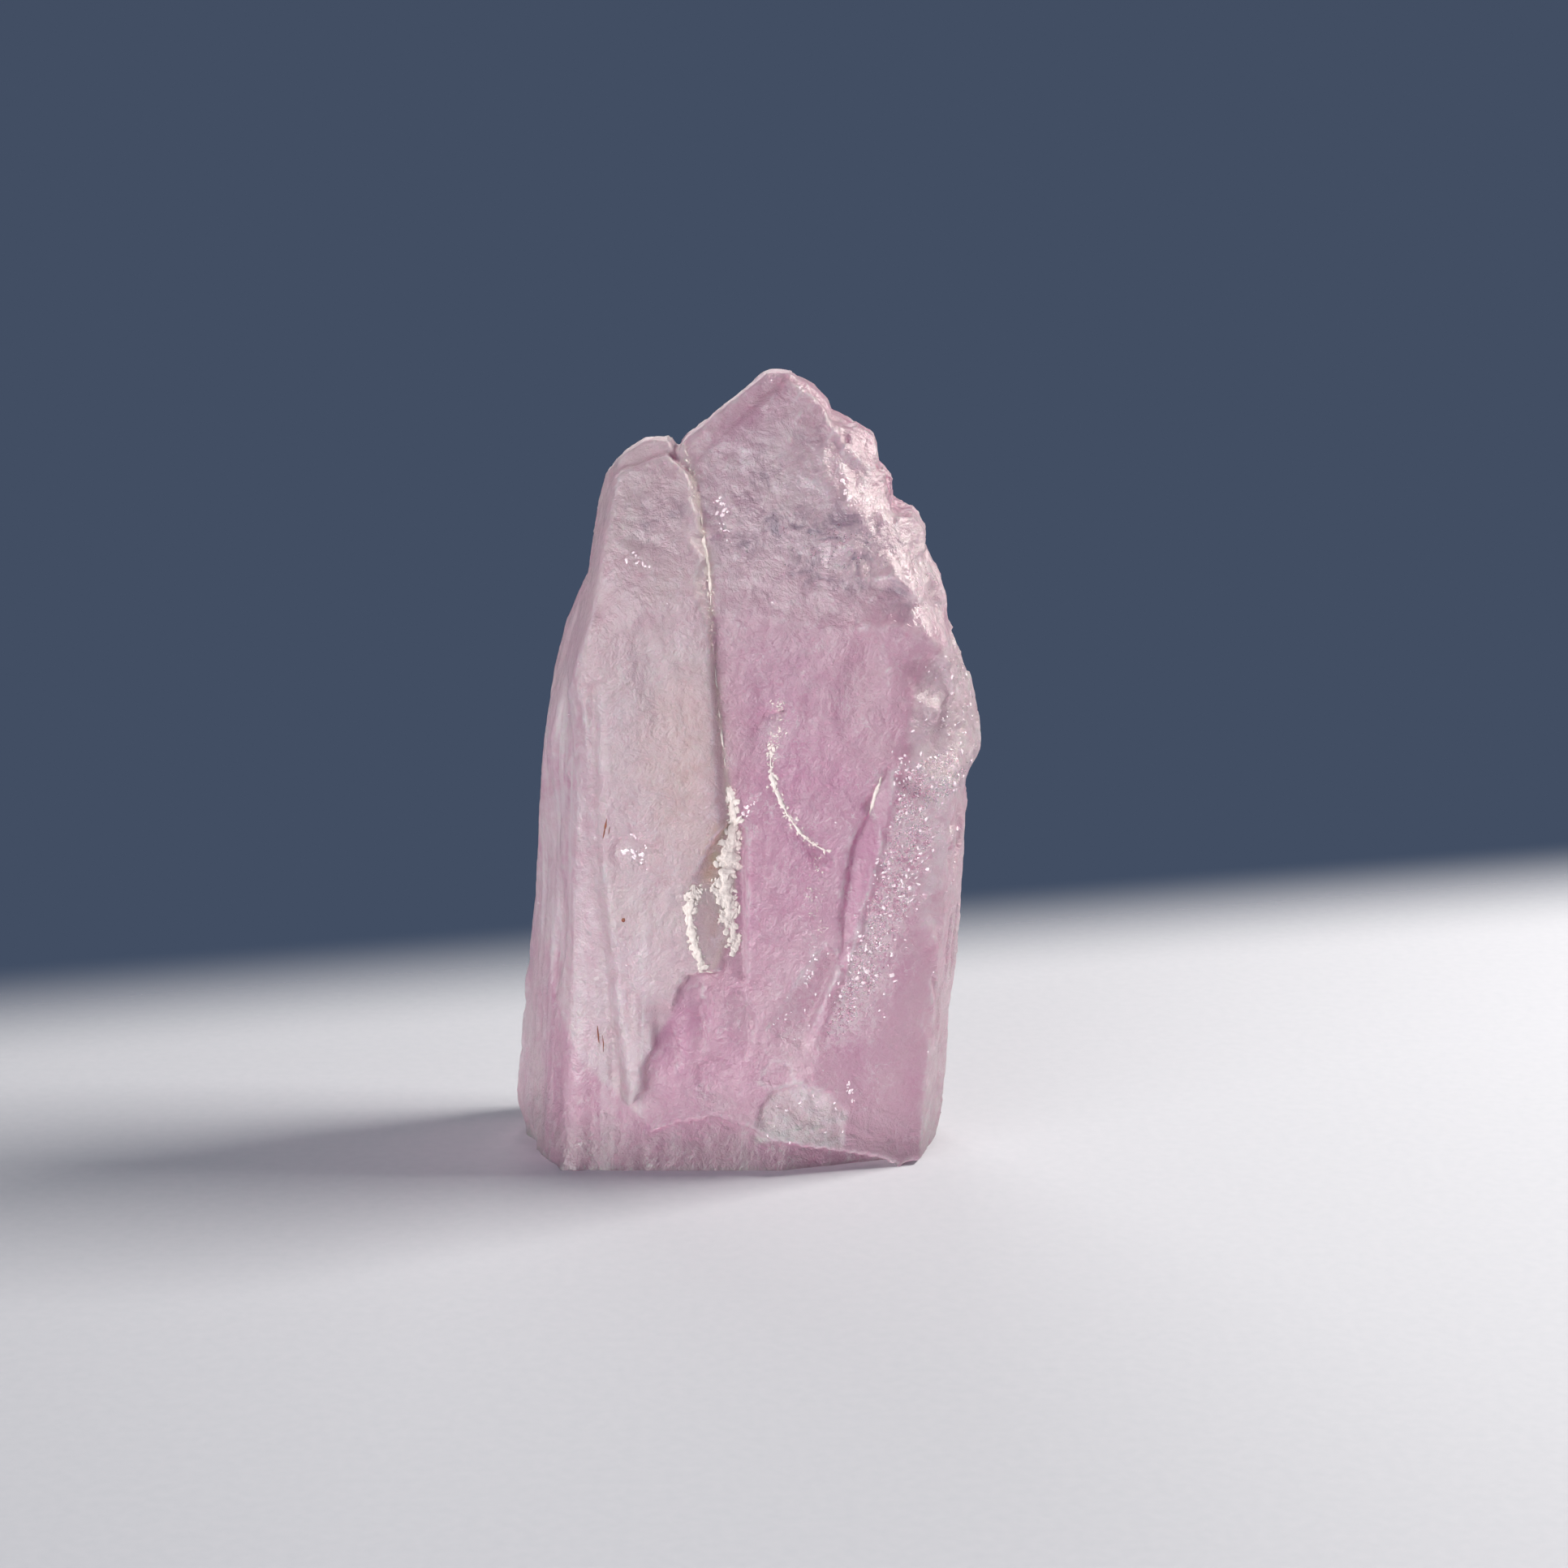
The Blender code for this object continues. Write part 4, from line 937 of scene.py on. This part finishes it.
seam_grids += cluster(right_line, 0.55, 190, (0.08, 0.36), 201, 0.4, 0.32)
seam_grids += cluster(right_line[2:7], 0.8, 70, (0.14, 0.50), 202, 0.5, 0.3)
seam_grids += cluster(left_line, 0.4, 60, (0.08, 0.36), 203, 0.4, 0.32)
seam_grids += cluster([(-2.2, 14.9), (-1.7, 15.2), (-1.2, 15.3)], 0.35, 14, (0.08, 0.24), 204)
seam_grids += cluster(SEAM[10:], 0.15, 170, (0.04, 0.1), 207)
crust = joined("seam_crust", seam_grids, finishes["feldspar_powder_crust"])

# %% [markdown]
# ## The curved vein
# A curved crack in the rose crystal is filled with the same powder, and a second short one lies by the
# trench. Fine dust is scattered round both.

# %% Vein
CURVED_CRACK = [
    (1.24, 22.0, 0.4), (1.22, 21.2, 0.8), (1.3, 20.5, 1.5), (1.5, 19.9, 1.4), (1.76, 19.35, 0.9),
    (2.04, 18.8, 0.8), (2.4, 18.25, 0.9), (2.72, 17.85, 1.1), (3.12, 17.45, 0.9), (3.52, 17.2, 0.9),
    (4.0, 17.0, 0.3),
]
SHORT_CRACK = [(6.72, 21.1, 0.5), (6.55, 20.4, 0.8), (6.3, 19.6, 1.1), (6.08, 18.8, 0.7)]
DUST = [
    ([point[:2] for point in CURVED_CRACK], 0.25, 110, (0.05, 0.15)),
    ([(1.25, 20.9), (1.4, 20.1)], 0.3, 20, (0.08, 0.22)),
    ([(1.5, 24.4), (1.7, 23.4), (1.4, 22.4), (1.3, 21.6)], 0.5, 120, (0.03, 0.1)),
    ([(3.4, 16.8), (3.56, 15.4), (3.24, 14.8), (3.36, 14.1), (3.77, 12.9)], 0.5, 110, (0.025, 0.07)),
]
vein_grids = [strand(CURVED_CRACK, 0.085, 0.06, 1.0, 121), strand(SHORT_CRACK, 0.09, 0.06, 0.8, 125)]
for number, (path, half_width, count, sizes) in enumerate(DUST):
    vein_grids += cluster(path, half_width, count, sizes, 211 + number)
vein = joined("frost_vein", vein_grids, finishes["feldspar_powder_crust"])

# %% [markdown]
# ## Splinters
# Small splinters of kunzite stick where the crystal is chipped: in named places, and finely over the
# glittering breaks and along the worn edges.

# %% Splinters of kunzite
CHIPPED = [
    ([(-0.1, 19.2), (0.1, 18.6), (0.4, 19.3)], 0.25, 14, (0.05, 0.16)),
    ([(-6.1, 16.9), (-5.5, 16.85), (-5.0, 16.4)], 0.3, 18, (0.08, 0.24)),
    ([(-6.3, 17.3), (-5.6, 17.8), (-4.8, 17.2)], 0.2, 12, (0.05, 0.12)),
    ([(4.82, 35.3), (5.0, 34.3)], 0.25, 12, (0.06, 0.18)),
    ([(-1.3, 34.0), (-1.1, 33.2), (-0.85, 32.3)], 0.35, 22, (0.06, 0.22)),
    ([(5.1, 4.8), (5.35, 4.0)], 0.22, 12, (0.06, 0.18)),
    ([(-6.0, 31.3), (-5.4, 31.4), (-4.8, 31.1)], 0.3, 12, (0.05, 0.14)),
]
splinter_grids = []
for number, (path, half_width, count, sizes) in enumerate(CHIPPED):
    splinter_grids += cluster(path, half_width, count, sizes, 221 + number, 0.4, 0.35)
seen = normal[..., 1] < FACES_FRONT
splinter_grids += crumbs(np.clip(painted_glints_and_splinters, 0.0, 1.0) * seen, 420, (0.05, 0.16), 231, 0.3, 0.6)
splinter_grids += crumbs(worn_and_painted_highlight + 0.06, 300, (0.03, 0.08), 232, 0.4, 0.5)
splinters = joined("splinters", splinter_grids, finishes["frosted_splinter"])

# %% [markdown]
# ## Rusty spots
# Iron has left a few dark, thin streaks along the growth lines of the left flank, and two small dots.

# %% Rusty spots
RUST = [
    ([(-6.86, 18.6, 0.4), (-6.95, 18.1, 1.0), (-7.08, 17.5, 0.5)], 0.055, 0.02),
    ([(-6.72, 18.2, 0.5), (-6.8, 17.7, 0.8)], 0.035, 0.02),
    ([(-7.5, 7.7, 0.4), (-7.46, 7.2, 1.0), (-7.42, 6.7, 0.6)], 0.05, 0.02),
    ([(-7.25, 7.2, 0.4), (-7.2, 6.7, 1.0), (-7.22, 6.2, 0.6)], 0.035, 0.02),
    ([(-6.2, 13.42, 1.0), (-6.0, 13.4, 1.0)], 0.11, 0.03),
    ([(-2.62, 14.75, 0.5), (-2.6, 14.4, 1.0), (-2.66, 14.1, 0.6)], 0.08, 0.05),
]
rust_grids = [strand(path, width, high, 0.4, 141 + n) for n, (path, width, high) in enumerate(RUST)]
rust_spots = joined("rust_spots", rust_grids, finishes["iron_stain"])

# %% [markdown]
# ## The floor
# The crystal stands on matt, pale paper, whose fibres make its tone a little uneven. In the photograph
# the paper ends softly behind it, out of focus. Here depth of field is off, so the floor itself fades to
# transparent there. Beyond it the world gives the plain slate backdrop.

# %% Floor and world
FLOOR_CORNERS = [(-400.0, -400.0, 0.0), (400.0, -400.0, 0.0), (400.0, 120.0, 0.0), (-400.0, 120.0, 0.0)]
FADE_START, FADE_END = 24.0, 46.0
FADE_TURN = -0.3
FIBRE_SIZE = 0.6
floor = mesh_object("floor", np.array(FLOOR_CORNERS), np.arange(4)[None])

paper = new_material("matt_paper")
paper_place = node(paper, "ShaderNodeTexCoord").outputs["Object"]
turned = node(paper, "ShaderNodeMapping", {"Vector": paper_place, "Rotation": (0.0, 0.0, FADE_TURN)})
distance = node(paper, "ShaderNodeSeparateXYZ", {"Vector": turned.outputs[0]}).outputs["Y"]
fade = node(
    paper, "ShaderNodeMapRange",
    {"Value": distance, "From Min": FADE_START * MM, "From Max": FADE_END * MM},
    interpolation_type="SMOOTHSTEP",
)
fibres = node(
    paper, "ShaderNodeTexNoise",
    {"Vector": paper_place, "Scale": 1.0 / (FIBRE_SIZE * MM), "Detail": 3.0},
)
paper_tone = node(
    paper, "ShaderNodeMix", {0: fibres.outputs[0], 6: colour("#ADB2B9"), 7: colour("#B6BAC0")},
    data_type="RGBA",
)
paper_shader = node(
    paper, "ShaderNodeBsdfPrincipled", {"Base Color": paper_tone.outputs[2], "Roughness": 0.85}
)
nothing = node(paper, "ShaderNodeBsdfTransparent")
faded = node(
    paper, "ShaderNodeMixShader",
    {0: fade.outputs[0], 1: paper_shader.outputs[0], 2: nothing.outputs[0]},
)
node(paper, "ShaderNodeOutputMaterial", {"Surface": faded.outputs[0]})
floor.data.materials.append(paper)

world = bpy.data.worlds.new("studio")
bpy.context.scene.world = world
world.use_nodes = True
world.node_tree.nodes["Background"].inputs["Color"].default_value = colour("#424E63")
bpy.context.scene.view_settings.view_transform = "Standard"

# %% [markdown]
# ## Light
# Plain studio light: a warm key from the right and a little behind throws the shadow to the left and
# forwards, a wide soft box in front fills the face of the crystal, and a weak one behind lights its edges.
# A wide light makes soft shadows and broad, quiet reflections. The key is the smallest, as the shadow in
# the photograph has a clear edge.

# %% Soft boxes
AIM = (0.0, 0.0, 18.0)


def soft_box(name, stand, size, power, tone):
    """A flat light of this width and height in mm and power in watts, turned to the middle of the crystal."""
    lamp = bpy.data.lights.new(name, "AREA")
    lamp.shape = "RECTANGLE"
    lamp.size, lamp.size_y = size[0] * MM, size[1] * MM
    lamp.energy = power
    lamp.color = colour(tone)[:3]
    holder = in_scene(name, lamp)
    holder.location = Vector(stand) * MM
    holder.rotation_euler = (Vector(AIM) - Vector(stand)).to_track_quat("-Z", "Y").to_euler()


soft_box("key", (195.0, 34.0, 185.0), (110.0, 40.0), 1.3, "#FFF6EE")
soft_box("fill", (-200.0, -300.0, 42.0), (260.0, 70.0), 1.82, "#FFFAF8")
soft_box("rear", (-60.0, 260.0, 150.0), (160.0, 160.0), 0.3, "#FFF8F4")
print("soft boxes:", len(bpy.data.lights))

# %% [markdown]
# ## Camera
# The photograph looks down on the crystal by about 13 degrees, from near enough that the sides converge a
# little. A lens of 86 mm on a 36 mm sensor at 190 mm gives that view.

# %% Camera
CAMERA_DISTANCE = 190.0
CAMERA_ELEVATION = np.radians(13.0)
CAMERA_TARGET = Vector((1.8757, 0.0, 19.0))
FOCAL_LENGTH, SENSOR_WIDTH = 85.88, 36.0
lens = bpy.data.cameras.new("camera")
lens.lens = FOCAL_LENGTH
lens.sensor_width = SENSOR_WIDTH
camera = in_scene("camera", lens)
backwards = Vector((0.0, -np.cos(CAMERA_ELEVATION), np.sin(CAMERA_ELEVATION)))
camera.location = (CAMERA_TARGET + backwards * CAMERA_DISTANCE) * MM
camera.rotation_euler = (np.pi / 2 - CAMERA_ELEVATION, 0.0, 0.0)
bpy.context.scene.camera = camera
print("camera, mm:", [round(value / MM, 1) for value in camera.location])
